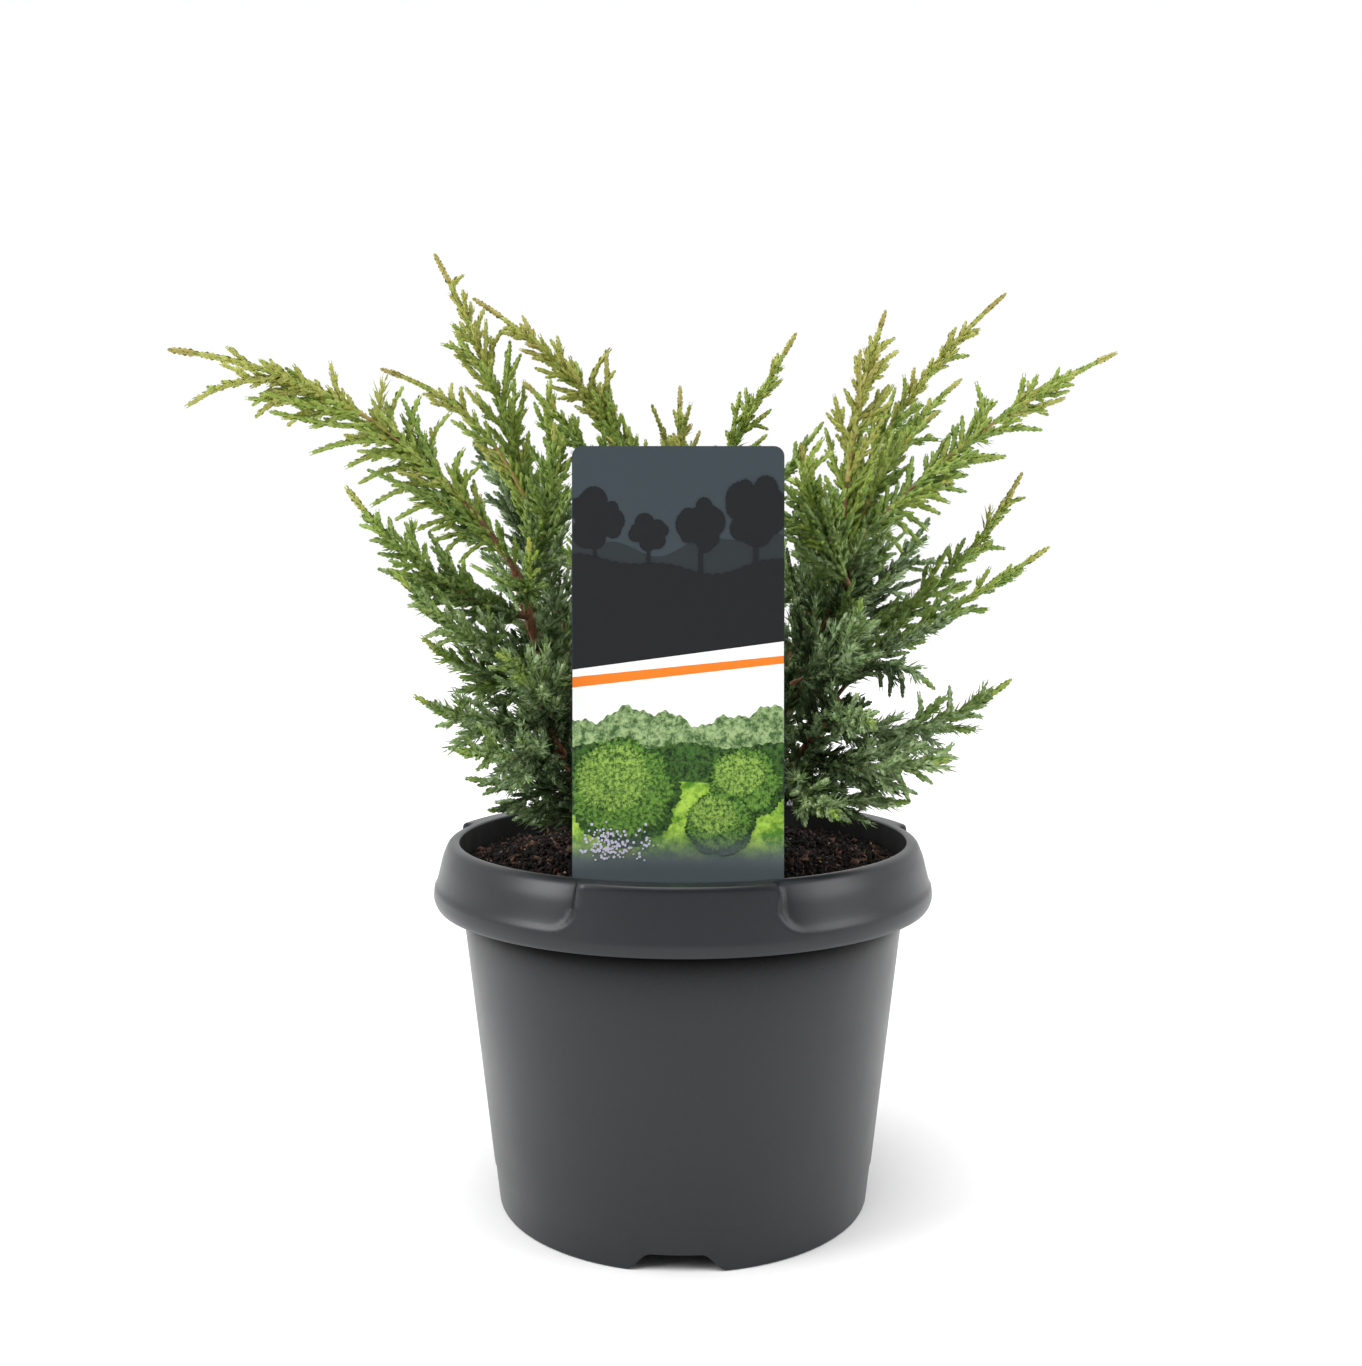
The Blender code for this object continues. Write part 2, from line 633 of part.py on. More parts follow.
for old in list(bpy.data.objects):
    bpy.data.objects.remove(old, do_unlink=True)
parts = bpy.data.collections.new("potted_juniper")
cutters = bpy.data.collections.new("cutters")
bpy.context.scene.collection.children.link(parts)
bpy.context.scene.collection.children.link(cutters)
materials = make_materials()

pot = make_pot(parts, cutters, materials["pot_grey"])
compost = make_compost(parts, cutters, materials["compost_brown"])
label = make_label(parts, materials["label_card"])
trunk = make_trunk(parts, materials["bark_brown"])
bough_lines = {name: bough_line(bough) for name, bough in BOUGHS.items()}
bark = materials["bark_brown"]
limbs = [limb(f"bough_{name}", *line, 2, parts, bark) for name, line in bough_lines.items()]
bpy.context.view_layer.update()
fixed_trees = [surface_tree(piece) for piece in (pot, compost, label, trunk, *limbs)]
make_sprays(parts, bough_lines, fixed_trees, materials)
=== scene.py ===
"""A young spreading Chinese juniper in its nursery pot, as it stands in a garden centre.

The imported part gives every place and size: the pot, the compost, the card label, the trunk, nine boughs
and forty-seven sprays of foliage. This script gives them their looks. Sizes are in millimetres unless a
name says otherwise, and are turned to metres as each piece is made.
"""
import json
import math
import random

import bmesh
import bpy
from mathutils import Matrix, Vector, noise
import numpy as np


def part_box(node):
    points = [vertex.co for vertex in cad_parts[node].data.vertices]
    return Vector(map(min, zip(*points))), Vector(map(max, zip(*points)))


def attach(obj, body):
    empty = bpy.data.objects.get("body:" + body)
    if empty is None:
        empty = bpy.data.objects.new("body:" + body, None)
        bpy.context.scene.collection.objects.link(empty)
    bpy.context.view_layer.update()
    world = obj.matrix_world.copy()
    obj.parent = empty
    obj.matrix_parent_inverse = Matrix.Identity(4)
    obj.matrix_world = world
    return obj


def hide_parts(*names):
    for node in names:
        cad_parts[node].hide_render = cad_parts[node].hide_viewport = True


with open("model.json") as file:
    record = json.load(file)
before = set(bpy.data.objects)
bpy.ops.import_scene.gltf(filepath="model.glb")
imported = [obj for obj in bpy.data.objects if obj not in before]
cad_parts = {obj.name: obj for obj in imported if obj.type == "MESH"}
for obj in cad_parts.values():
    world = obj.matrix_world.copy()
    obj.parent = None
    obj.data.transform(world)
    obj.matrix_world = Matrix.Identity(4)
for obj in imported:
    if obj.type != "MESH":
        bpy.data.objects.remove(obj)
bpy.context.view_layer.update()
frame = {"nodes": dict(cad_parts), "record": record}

MM = 0.001

# The view: a small product studio. The camera stands half a metre in front of the pot, a little above the
# middle of the plant, and looks slightly down. The focal length is the one that the pot's rim and foot
# give, and the sensor's height stands for the picture's rows.
CAMERA_PLACE = (-0.75, -535.0, 236.5)
CAMERA_DOWN_DEGREES = 4.17
PICTURE_ROWS = 1366
FOCAL_LENGTH_ROWS = 1402.2
SENSOR_HEIGHT = 36.0

camera_data = bpy.data.cameras.new("studio_camera")
camera_data.sensor_fit = "VERTICAL"
camera_data.sensor_height = SENSOR_HEIGHT
camera_data.lens = SENSOR_HEIGHT * FOCAL_LENGTH_ROWS / PICTURE_ROWS
camera = bpy.data.objects.new("studio_camera", camera_data)
camera.location = Vector(CAMERA_PLACE) * MM
camera.rotation_euler = (math.radians(90.0 - CAMERA_DOWN_DEGREES), 0.0, 0.0)
bpy.context.scene.collection.objects.link(camera)
bpy.context.scene.camera = camera
bpy.context.scene.view_settings.view_transform = "Standard"


def from_hex(code):
    """A colour written as sRGB hex, as the linear colour that a shader takes."""
    channels = [int(code[start:start + 2], 16) / 255 for start in (0, 2, 4)]
    linear = [value / 12.92 if value <= 0.04045 else ((value + 0.055) / 1.055) ** 2.4 for value in channels]
    return (*linear, 1.0)


def new_material(name, colour, roughness, specular):
    """A Principled material with its uniform values set on the shader itself."""
    material = bpy.data.materials.new(name)
    material.use_nodes = True
    shader = material.node_tree.nodes["Principled BSDF"]
    shader.inputs["Base Color"].default_value = from_hex(colour)
    shader.inputs["Roughness"].default_value = roughness
    shader.inputs["Specular IOR Level"].default_value = specular
    material.diffuse_color = from_hex(colour)
    return material, shader


def add_node(shader, kind, sockets=None, feeds=None, stops=(), **settings):
    """Add a node with its settings, inputs and colour stops. Its first output may feed a socket."""
    tree = shader.id_data
    node = tree.nodes.new(kind)
    for name, value in settings.items():
        setattr(node, name, value)
    for name, value in (sockets or {}).items():
        if isinstance(value, bpy.types.NodeSocket):
            tree.links.new(value, node.inputs[name])
        else:
            node.inputs[name].default_value = value
    for index, (position, colour) in enumerate(stops):
        node.color_ramp.elements[index].position = position
        node.color_ramp.elements[index].color = from_hex(colour)
    if feeds is not None:
        tree.links.new(node.outputs[0], feeds)
    return node


# The studio: a pale floor, a white surround that is dim on the camera's side, and soft lights. The stronger
# light stands on the left, so the plant's faint shadow falls to its right.
SURROUND_FRONT = 0.10
SURROUND_BACK = 1.0
SURROUND_DIM_UP_TO = -0.55
SURROUND_WHITE_FROM = 0.25
FLOOR_HALF_SIDE_METRES = 6.0
LIGHTS_AIM_METRES = (0.0, 0.0, 0.2)
OVERHEAD_STRENGTH = 2.6
OVERHEAD_SOFTNESS_DEGREES = 50.0
OVERHEAD_TURN_DEGREES = (14.0, -5.0, 0.0)
world = bpy.data.worlds.new("white_surround")
world.use_nodes = True
surround = world.node_tree.nodes["Background"]
surround.inputs["Color"].default_value = (1.0, 1.0, 1.0, 1.0)
toward = add_node(surround, "ShaderNodeTexCoord")
toward_parts = add_node(surround, "ShaderNodeSeparateXYZ", {"Vector": toward.outputs["Generated"]})
dimmed = add_node(surround, "ShaderNodeMapRange", {
    "Value": toward_parts.outputs["Y"], "From Min": SURROUND_DIM_UP_TO, "From Max": SURROUND_WHITE_FROM,
    "To Min": SURROUND_FRONT, "To Max": SURROUND_BACK}, interpolation_type="SMOOTHSTEP")
seen = add_node(surround, "ShaderNodeLightPath")
add_node(surround, "ShaderNodeMath", {0: dimmed.outputs["Result"], 1: seen.outputs["Is Camera Ray"]},
         surround.inputs["Strength"], operation="MAXIMUM")
bpy.context.scene.world = world

floor_bm = bmesh.new()
bmesh.ops.create_grid(floor_bm, x_segments=1, y_segments=1, size=FLOOR_HALF_SIDE_METRES)
floor_mesh = bpy.data.meshes.new("studio_floor")
floor_bm.to_mesh(floor_mesh)
floor_bm.free()
floor = bpy.data.objects.new("studio_floor", floor_mesh)
bpy.context.scene.collection.objects.link(floor)
floor_material, _ = new_material("pale_paper_floor", "f0f0f0", 0.9, 0.1)
floor_mesh.materials.append(floor_material)

SOFT_LIGHTS = (
    # name, place in metres, width, height, watts
    ("key_left", (-1.3, -0.60, 0.85), 0.7, 0.7, 14.0),
    ("fill_right", (1.3, -0.45, 0.75), 0.8, 0.8, 9.0),
)
for name, place, width, height, watts in SOFT_LIGHTS:
    light_data = bpy.data.lights.new(name, "AREA")
    light_data.shape = "RECTANGLE"
    light_data.size = width
    light_data.size_y = height
    light_data.energy = watts
    light = bpy.data.objects.new(name, light_data)
    light.location = place
    light.rotation_euler = (Vector(LIGHTS_AIM_METRES) - Vector(place)).to_track_quat("-Z", "Y").to_euler()
    bpy.context.scene.collection.objects.link(light)

overhead_data = bpy.data.lights.new("overhead", "SUN")
overhead_data.energy = OVERHEAD_STRENGTH
overhead_data.angle = math.radians(OVERHEAD_SOFTNESS_DEGREES)
overhead = bpy.data.objects.new("overhead", overhead_data)
overhead.rotation_euler = [math.radians(turn) for turn in OVERHEAD_TURN_DEGREES]
bpy.context.scene.collection.objects.link(overhead)


# The pot: one injection moulding in anthracite polypropylene. A straight cone with a deep hollow collar,
# two recesses in the collar where stacked pots grip, a raised floor and three notches in the foot ring.
def corner_points(node):
    """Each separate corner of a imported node, in millimetres."""
    raw = np.array([vertex.co for vertex in frame["nodes"][node].data.vertices]) / MM
    _, first = np.unique(np.round(raw, 2), axis=0, return_index=True)
    return raw[np.sort(first)]


def add_piece(name, bm, material, nodes, smooth_degrees=40.0):
    """Make a bmesh in millimetres a piece of the plant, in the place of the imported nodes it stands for."""
    bmesh.ops.scale(bm, vec=(MM, MM, MM), verts=bm.verts)
    mesh = bpy.data.meshes.new(name)
    bm.to_mesh(mesh)
    bm.free()
    return place_mesh(name, mesh, material, nodes, smooth_degrees)


def place_mesh(name, mesh, material, nodes, smooth_degrees=None):
    """Show a finished mesh as a piece that rides on the plant's one body."""
    mesh.materials.append(material)
    if smooth_degrees is not None:
        mesh.shade_smooth()
        mesh.set_sharp_from_angle(angle=math.radians(smooth_degrees))
    piece = bpy.data.objects.new(name, mesh)
    bpy.context.scene.collection.objects.link(piece)
    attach(piece, "root")
    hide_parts(*nodes)
    return piece


POT_STEPS = 360
pot_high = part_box("pot")[1]
POT_HEIGHT = pot_high.z / MM
COLLAR_RADIUS = pot_high.x / MM
FOOT_RADIUS = 71.4
WALL_SLOPE = 0.112
WALL = 1.8
FLOOR_UNDER = 8.0
COLLAR_TOP_RADIUS = COLLAR_RADIUS - 2.0
COLLAR_LOW = 115.5
COLLAR_WEB = 122.6
COLLAR_SKIN = 1.8
FOOT_LINE = 15.4
FOOT_STEP = 0.35
POT_FRONT = -91.3
RECESS_MIDDLE = 63.0
RECESS_HALF_WIDTH = 68.2
RECESS_LOW = 122.8
RECESS_CORNER = 10.0
RECESS_EDGE = 1.3
NOTCH_HEADINGS = (-92.0, 28.0, 148.0)
NOTCH_HEIGHT = 6.4
NOTCH_HALF_TOP = 9.0
NOTCH_HALF_LOW = 18.0


def wall_radius(height):
    """Outside radius of the pot's tapered wall."""
    return FOOT_RADIUS + WALL_SLOPE * height


def rounded_line(corners, steps=4):
    """A line through (x, y, corner radius), with each corner turned by a small arc."""
    line = []
    for index, (x, y, radius) in enumerate(corners):
        here = Vector((x, y))
        if radius == 0.0:
            line.append(here)
            continue
        before = (Vector(corners[index - 1][:2]) - here).normalized()
        after = (Vector(corners[index + 1][:2]) - here).normalized()
        for step in range(steps + 1):
            share = step / steps
            line.append(here + before * radius * (1 - share) ** 2 + after * radius * share ** 2)
    return line


def smooth_step(value):
    """Zero below 0, one above 1, and an even curve between."""
    value = min(max(value, 0.0), 1.0)
    return value * value * (3.0 - 2.0 * value)


def along_line(line, share):
    """The point at a share of a line's length."""
    lengths = [(second - first).length for first, second in zip(line, line[1:])]
    wanted = share * sum(lengths)
    for first, second, length in zip(line, line[1:], lengths):
        if wanted <= length:
            return first.lerp(second, wanted / length)
        wanted -= length
    return line[-1]


inside_top = wall_radius(POT_HEIGHT) - WALL
pot_inside = rounded_line((
    (0.0, FLOOR_UNDER + WALL, 0.0),
    (wall_radius(FLOOR_UNDER + WALL) - WALL, FLOOR_UNDER + WALL, 2.0),
    (inside_top, POT_HEIGHT, 0.9),
    (inside_top + 2.0, POT_HEIGHT, 0.0),
))
raised_line = rounded_line((
    (inside_top + 2.0, POT_HEIGHT, 0.0),
    (COLLAR_TOP_RADIUS, POT_HEIGHT, 1.4),
    (COLLAR_TOP_RADIUS + 1.7, RECESS_LOW - 1.6, 0.0),
))
recessed_line = rounded_line((
    (inside_top + 2.0, POT_HEIGHT, 0.0),
    (inside_top + 4.0, POT_HEIGHT - 0.5, 1.2),
    (COLLAR_TOP_RADIUS - 1.7, POT_HEIGHT - 5.2, 2.5),
    (COLLAR_TOP_RADIUS + 0.4, RECESS_LOW + 2.0, 2.0),
    (COLLAR_TOP_RADIUS + 1.7, RECESS_LOW - 1.6, 0.0),
))
pot_outside = rounded_line((
    (COLLAR_TOP_RADIUS + 1.7, RECESS_LOW - 1.6, 0.0),
    (COLLAR_RADIUS, COLLAR_LOW + 3.0, 1.6),
    (COLLAR_RADIUS - 0.9, COLLAR_LOW + 0.7, 0.8),
    (COLLAR_RADIUS - 1.5, COLLAR_LOW, 0.3),
    (COLLAR_RADIUS - COLLAR_SKIN - 0.1, COLLAR_LOW + 0.3, 0.2),
    (COLLAR_RADIUS - COLLAR_SKIN - 0.6, COLLAR_WEB, 0.8),
    (wall_radius(COLLAR_WEB), COLLAR_WEB, 0.8),
    (wall_radius(FOOT_LINE + 0.8), FOOT_LINE + 0.8, 0.0),
    (wall_radius(FOOT_LINE) - FOOT_STEP, FOOT_LINE, 0.0),
    (FOOT_RADIUS - FOOT_STEP, 0.0, 0.9),
    (FOOT_RADIUS - WALL - 0.2, 0.0, 0.4),
    (wall_radius(FLOOR_UNDER) - WALL - 0.2, FLOOR_UNDER, 0.8),
    (0.0, FLOOR_UNDER, 0.0),
))
COLLAR_STEPS = 22
collar_face = [along_line(raised_line, step / COLLAR_STEPS) for step in range(1, COLLAR_STEPS)]
recess_face = [along_line(recessed_line, step / COLLAR_STEPS) for step in range(1, COLLAR_STEPS)]
pot_profile = pot_inside + collar_face + pot_outside

pot_bm = bmesh.new()
profile_verts = [pot_bm.verts.new((point.x, 0.0, point.y)) for point in pot_profile]
profile_edges = [pot_bm.edges.new(pair) for pair in zip(profile_verts, profile_verts[1:])]
bmesh.ops.spin(pot_bm, geom=profile_verts + profile_edges, cent=(0.0, 0.0, 0.0), axis=(0.0, 0.0, 1.0),
               angle=math.tau, steps=POT_STEPS, use_merge=True, use_duplicate=False)
bmesh.ops.remove_doubles(pot_bm, verts=pot_bm.verts, dist=0.001)
bmesh.ops.recalc_face_normals(pot_bm, faces=pot_bm.faces)


def recess_share(azimuth, height):
    """How far inside a recess a point of the collar lies: one inside, zero outside, rounded low corners."""
    from_front = abs((azimuth - POT_FRONT + 180.0) % 360.0 - 180.0)
    along = abs(from_front - RECESS_MIDDLE) * math.radians(1.0) * COLLAR_TOP_RADIUS
    past_end = along - (RECESS_HALF_WIDTH - RECESS_CORNER)
    past_low = (RECESS_LOW + RECESS_CORNER) - height
    outside = math.hypot(max(past_end, 0.0), max(past_low, 0.0)) + min(max(past_end, past_low), 0.0)
    return smooth_step((RECESS_CORNER + RECESS_EDGE - outside) / (2 * RECESS_EDGE))


def notch_lift(azimuth):
    """The height of the foot's lower edge round the pot."""
    lift = 0.0
    for heading in NOTCH_HEADINGS:
        turn = abs((azimuth - heading + 180.0) % 360.0 - 180.0)
        along = math.radians(turn) * FOOT_RADIUS
        share = smooth_step((NOTCH_HALF_LOW - along) / (NOTCH_HALF_LOW - NOTCH_HALF_TOP))
        lift = max(lift, NOTCH_HEIGHT * share)
    return lift


for vert in pot_bm.verts:
    radius = math.hypot(vert.co.x, vert.co.y)
    azimuth = math.degrees(math.atan2(vert.co.y, vert.co.x))
    here = Vector((radius, vert.co.z))
    nearest = min(range(len(collar_face)), key=lambda step: (collar_face[step] - here).length)
    if (collar_face[nearest] - here).length < 0.01:
        recess = recess_face[nearest]
        share = recess_share(azimuth, vert.co.z)
        wanted = radius + (recess.x - radius) * share
        vert.co.z += (recess.y - vert.co.z) * share
        vert.co.x *= wanted / radius
        vert.co.y *= wanted / radius
    elif radius > FOOT_RADIUS - 2 * WALL and vert.co.z < NOTCH_HEIGHT:
        vert.co.z = max(vert.co.z, notch_lift(azimuth))

# Moulded polypropylene: satin, with a faint spark-eroded grain and a little rubbed dust on it. Painted
# shade: an occlusion node darkens its colour and dims its sheen in the corner under the collar and in other
# hollows.
POT_COLOUR = "1a1c20"
PAINTED_SHADE_COLOUR = "050506"
PAINTED_SHADE_REACH = 60
pot_material, pot_shader = new_material("moulded_anthracite_polypropylene", POT_COLOUR, 0.42, 0.45)
pot_place = add_node(pot_shader, "ShaderNodeTexCoord")
pot_cloud = add_node(pot_shader, "ShaderNodeTexNoise", {
    "Vector": pot_place.outputs["Object"], "Scale": 1 / (25 * MM), "Detail": 4.0})
add_node(pot_shader, "ShaderNodeMapRange", {
    "Value": pot_cloud.outputs["Fac"], "To Min": 0.28, "To Max": 0.42}, pot_shader.inputs["Roughness"])
# Painted shade: where the occlusion finds the surface hemmed in, the colour goes towards near black and the
# sheen is dimmed.
pot_occlusion = add_node(pot_shader, "ShaderNodeAmbientOcclusion", {"Distance": PAINTED_SHADE_REACH * MM},
                      samples=16, only_local=True)
pot_painted_shade = add_node(pot_shader, "ShaderNodeMapRange", {
    "Value": pot_occlusion.outputs["AO"], "From Min": 0.80, "From Max": 1.0})
add_node(pot_shader, "ShaderNodeMixRGB", {
    "Fac": pot_painted_shade.outputs["Result"], "Color1": from_hex(PAINTED_SHADE_COLOUR), "Color2": from_hex(POT_COLOUR)},
         pot_shader.inputs["Base Color"])
add_node(pot_shader, "ShaderNodeMapRange", {
    "Value": pot_painted_shade.outputs["Result"], "To Min": 0.02, "To Max": 0.40},
         pot_shader.inputs["Specular IOR Level"])
pot_grain = add_node(pot_shader, "ShaderNodeTexNoise", {
    "Vector": pot_place.outputs["Object"], "Scale": 1 / (0.6 * MM), "Detail": 2.0})
add_node(pot_shader, "ShaderNodeBump", {
    "Height": pot_grain.outputs["Fac"], "Strength": 0.12, "Distance": 0.1 * MM}, pot_shader.inputs["Normal"])

pot_piece = add_piece("nursery_pot", pot_bm, pot_material, ["pot"], 32.0)

# Six drain holes go through the raised floor. A cutter of six short round bars makes them, and is taken
# away once its cut is part of the pot's mesh.
DRAIN_COUNT = 6
DRAIN_RADIUS = 4.5
DRAIN_RING = 50.0
DRAIN_SIDES = 32
drain_bm = bmesh.new()
for index in range(DRAIN_COUNT):
    turn = math.tau * index / DRAIN_COUNT
    made = bmesh.ops.create_cone(drain_bm, cap_ends=True, segments=DRAIN_SIDES, radius1=DRAIN_RADIUS * MM,
                                 radius2=DRAIN_RADIUS * MM, depth=6 * WALL * MM)
    place = Vector((DRAIN_RING * math.cos(turn), DRAIN_RING * math.sin(turn), FLOOR_UNDER + WALL / 2)) * MM
    bmesh.ops.translate(drain_bm, vec=place, verts=made["verts"])
drain_mesh = bpy.data.meshes.new("drain_punch")
drain_bm.to_mesh(drain_mesh)
drain_bm.free()
drain_punch = bpy.data.objects.new("drain_punch", drain_mesh)
bpy.context.scene.collection.objects.link(drain_punch)
punch = pot_piece.modifiers.new("drain_holes", "BOOLEAN")
punch.operation = "DIFFERENCE"
punch.object = drain_punch
bpy.context.view_layer.update()
punched = bpy.data.meshes.new_from_object(pot_piece.evaluated_get(bpy.context.evaluated_depsgraph_get()))
pot_piece.modifiers.remove(punch)
pot_piece.data = punched
bpy.data.objects.remove(drain_punch)

# The inside of the same wall, from the rim down to the floor: dull, with roughness that changes in clouds
# about a centimetre across, and coloured nearly black as painted shade of the pot's deep inside.
inside_painted_shade_material, inside_painted_shade_shader = new_material("polypropylene_inside_painted_shade", "0c0b0b", 0.6, 0.2)
inside_wall_place = add_node(inside_painted_shade_shader, "ShaderNodeTexCoord")
inside_wall_cloud = add_node(inside_painted_shade_shader, "ShaderNodeTexNoise", {
    "Vector": inside_wall_place.outputs["Object"], "Scale": 1 / (9 * MM), "Detail": 5.0})
add_node(inside_painted_shade_shader, "ShaderNodeMapRange", {
    "Value": inside_wall_cloud.outputs["Fac"], "To Min": 0.45, "To Max": 0.75}, inside_painted_shade_shader.inputs["Roughness"])
punched.materials.append(inside_painted_shade_material)
# The inner wall's faces take the nearly black painted-shade material.
for polygon in punched.polygons:
    centre = polygon.center / MM
    if FLOOR_UNDER + WALL / 2 < centre.z < POT_HEIGHT - 0.5:
        if math.hypot(centre.x, centre.y) < wall_radius(centre.z) - WALL + 0.2:
            polygon.material_index = 1


# The compost: moist peat and composted bark, level with the planting line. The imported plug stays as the
# body of it, and loose crumbs and chips of bark cover its top.
compost_material, compost_shader = new_material("moist_peat_and_bark", "120e0c", 0.95, 0.15)
compost_place = add_node(compost_shader, "ShaderNodeTexCoord")
compost_lumps = add_node(compost_shader, "ShaderNodeTexNoise", {
    "Vector": compost_place.outputs["Object"], "Scale": 1 / (2.0 * MM), "Detail": 6.0})
add_node(compost_shader, "ShaderNodeBump", {
    "Height": compost_lumps.outputs["Fac"], "Strength": 0.8, "Distance": 1.0 * MM},
         compost_shader.inputs["Normal"])
compost_node = frame["nodes"]["compost"]
compost_node.data.materials.clear()
compost_node.data.materials.append(compost_material)

compost_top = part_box("compost")[1].z / MM
CRUMB_REACH = wall_radius(compost_top) - WALL - 2.2
CRUMB_CLEAR_OF_TRUNK = 8.0
CRUMBS_LOWER_AT_WALL = 2.2
CRUMBS_SWELL = 0.5
CRUMBS = (
    # name, colour, roughness, count, smallest and largest half-size, flatness
    ("crumbs_dark", "15100d", 0.95, 6500, 0.7, 1.9, 0.7),
    ("crumbs_brown", "2c2019", 0.90, 2600, 0.6, 1.8, 0.6),
    ("bark_chips", "5a4033", 0.85, 650, 0.9, 2.6, 0.35),
    ("pale_flecks", "a58a78", 0.85, 420, 0.4, 1.0, 0.6),
)
compost_rng = np.random.default_rng(31)


def joined_mesh(name, points, faces):
    """A mesh from arrays: points as (n, 3) in millimetres and triangles as (m, 3)."""
    mesh = bpy.data.meshes.new(name)
    mesh.vertices.add(len(points))
    mesh.vertices.foreach_set("co", (points * MM).astype(np.float32).ravel())
    mesh.loops.add(faces.size)
    mesh.loops.foreach_set("vertex_index", faces.astype(np.int32).ravel())
    mesh.polygons.add(len(faces))
    mesh.polygons.foreach_set("loop_start", np.arange(0, faces.size, 3, dtype=np.int32))
    mesh.update(calc_edges=True)
    mesh.validate()
    return mesh


def crumb_shape():
    """A small octahedron, as unit corners and faces that point outwards."""
    bm = bmesh.new()
    bmesh.ops.create_uvsphere(bm, u_segments=4, v_segments=2, radius=1.0)
    bmesh.ops.triangulate(bm, faces=bm.faces)
    bmesh.ops.recalc_face_normals(bm, faces=bm.faces)
    corners = np.array([vert.co for vert in bm.verts])
    faces = np.array([[vert.index for vert in face.verts] for face in bm.faces])
    bm.free()
    return corners, faces


def random_turns(rng, count):
    """Rotation matrices with no favoured direction."""
    quaternion = rng.normal(size=(count, 4))
    w, x, y, z = (quaternion / np.linalg.norm(quaternion, axis=1)[:, None]).T
    rows = [[1 - 2 * (y * y + z * z), 2 * (x * y - z * w), 2 * (x * z + y * w)],
            [2 * (x * y + z * w), 1 - 2 * (x * x + z * z), 2 * (y * z - x * w)],
            [2 * (x * z - y * w), 2 * (y * z + x * w), 1 - 2 * (x * x + y * y)]]
    return np.moveaxis(np.array(rows), 2, 0)


crumb_corners, crumb_faces = crumb_shape()
for name, colour, roughness, count, small, large, flatness in CRUMBS:
    nearest = (CRUMB_CLEAR_OF_TRUNK / CRUMB_REACH) ** 2
    reach = CRUMB_REACH * np.sqrt(compost_rng.uniform(nearest, 1.0, count))
    heading = compost_rng.uniform(0.0, math.tau, count)
    size = small + (large - small) * compost_rng.uniform(0.0, 1.0, count) ** 2
    mound = (CRUMBS_SWELL - CRUMBS_LOWER_AT_WALL * (reach / CRUMB_REACH) ** 4
             + CRUMBS_SWELL * np.sin(reach * 0.21 + 2.3 * np.sin(heading * 3.0)))
    height = compost_top - 0.4 + mound + compost_rng.uniform(-0.5, 0.7, count)
    middle = np.stack((reach * np.cos(heading), reach * np.sin(heading), height), axis=1)
    long_side = compost_rng.uniform(0.8, 1.5, count)
    short_side = compost_rng.uniform(0.6, 1.0, count)
    stretch = size[:, None] * np.stack((long_side, short_side, np.full(count, flatness)), axis=1)
    uneven = 1.0 + compost_rng.uniform(-0.3, 0.3, (count, len(crumb_corners), 1))
    lumps = crumb_corners[None] * stretch[:, None, :] * uneven
    lumps = np.einsum("nij,nkj->nki", random_turns(compost_rng, count), lumps) + middle[:, None, :]
    faces = crumb_faces[None] + (np.arange(count) * len(crumb_corners))[:, None, None]
    mesh = joined_mesh(name, lumps.reshape(-1, 3), faces.reshape(-1, 3))
    material, _ = new_material(name, colour, roughness, 0.3)
    place_mesh(name, mesh, material, [])


# The label: a printed card of white polypropylene, 0.5 mm thick, on a tongue that is pushed into the
# compost. Its print is a plain garden scene of its own: hills and round trees, a stripe, clipped shrubs.
label_low, label_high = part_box("label")
LABEL_SHOULDER = 131.4
LABEL_THICKNESS = 0.5
LABEL_CORNER = 3.5
TONGUE_WIDTH = 25.0
TONGUE_TIP_WIDTH = 8.0
TONGUE_POINT = 14.0
CARD_CORNER_STEPS = 8
LABEL_WIDTH = (label_high.x - label_low.x) / MM
label_rise = (label_high.z - label_low.z) / MM
label_depth = (label_high.y - label_low.y) / MM - LABEL_THICKNESS
LABEL_LEAN = math.atan2(label_depth, label_rise)
label_foot = Vector(((label_low.x + label_high.x) / 2 / MM, label_low.y / MM + LABEL_THICKNESS / 2,
                     label_low.z / MM))
label_turn = Matrix.Translation(label_foot) @ Matrix.Rotation(math.radians(90.0) - LABEL_LEAN, 4, "X")
CARD_LOW = (LABEL_SHOULDER - label_foot.z) / math.cos(LABEL_LEAN)
CARD_TOP = label_rise / math.cos(LABEL_LEAN)


def card_piece(name, outline, layer, thickness, material, bevel_corners=()):
    """A flat piece in the label's plane, with its front on a layer: millimetres before the card's middle."""
    bm = bmesh.new()
    verts = [bm.verts.new((x, y, 0.0)) for x, y in outline]
    bm.faces.new(verts)
    if bevel_corners:
        bmesh.ops.bevel(bm, geom=[verts[index] for index in bevel_corners], offset=LABEL_CORNER,
                        segments=CARD_CORNER_STEPS, affect="VERTICES", profile=0.5, material=-1)
    grown = bmesh.ops.extrude_face_region(bm, geom=list(bm.faces))["geom"]
    moved = [item for item in grown if isinstance(item, bmesh.types.BMVert)]
    bmesh.ops.translate(bm, vec=(0.0, 0.0, thickness), verts=moved)
    bmesh.ops.recalc_face_normals(bm, faces=bm.faces)
    bmesh.ops.translate(bm, vec=(0.0, 0.0, layer - thickness), verts=bm.verts)
    bmesh.ops.transform(bm, matrix=label_turn, verts=bm.verts)
    return add_piece(name, bm, material, ["label"], 30.0)


PICTURE_FADE_LOW = 10.0
PICTURE_FADE_HIGH = 23.0
SLATE = "384146"
FOOT_SLATE = "565f64"


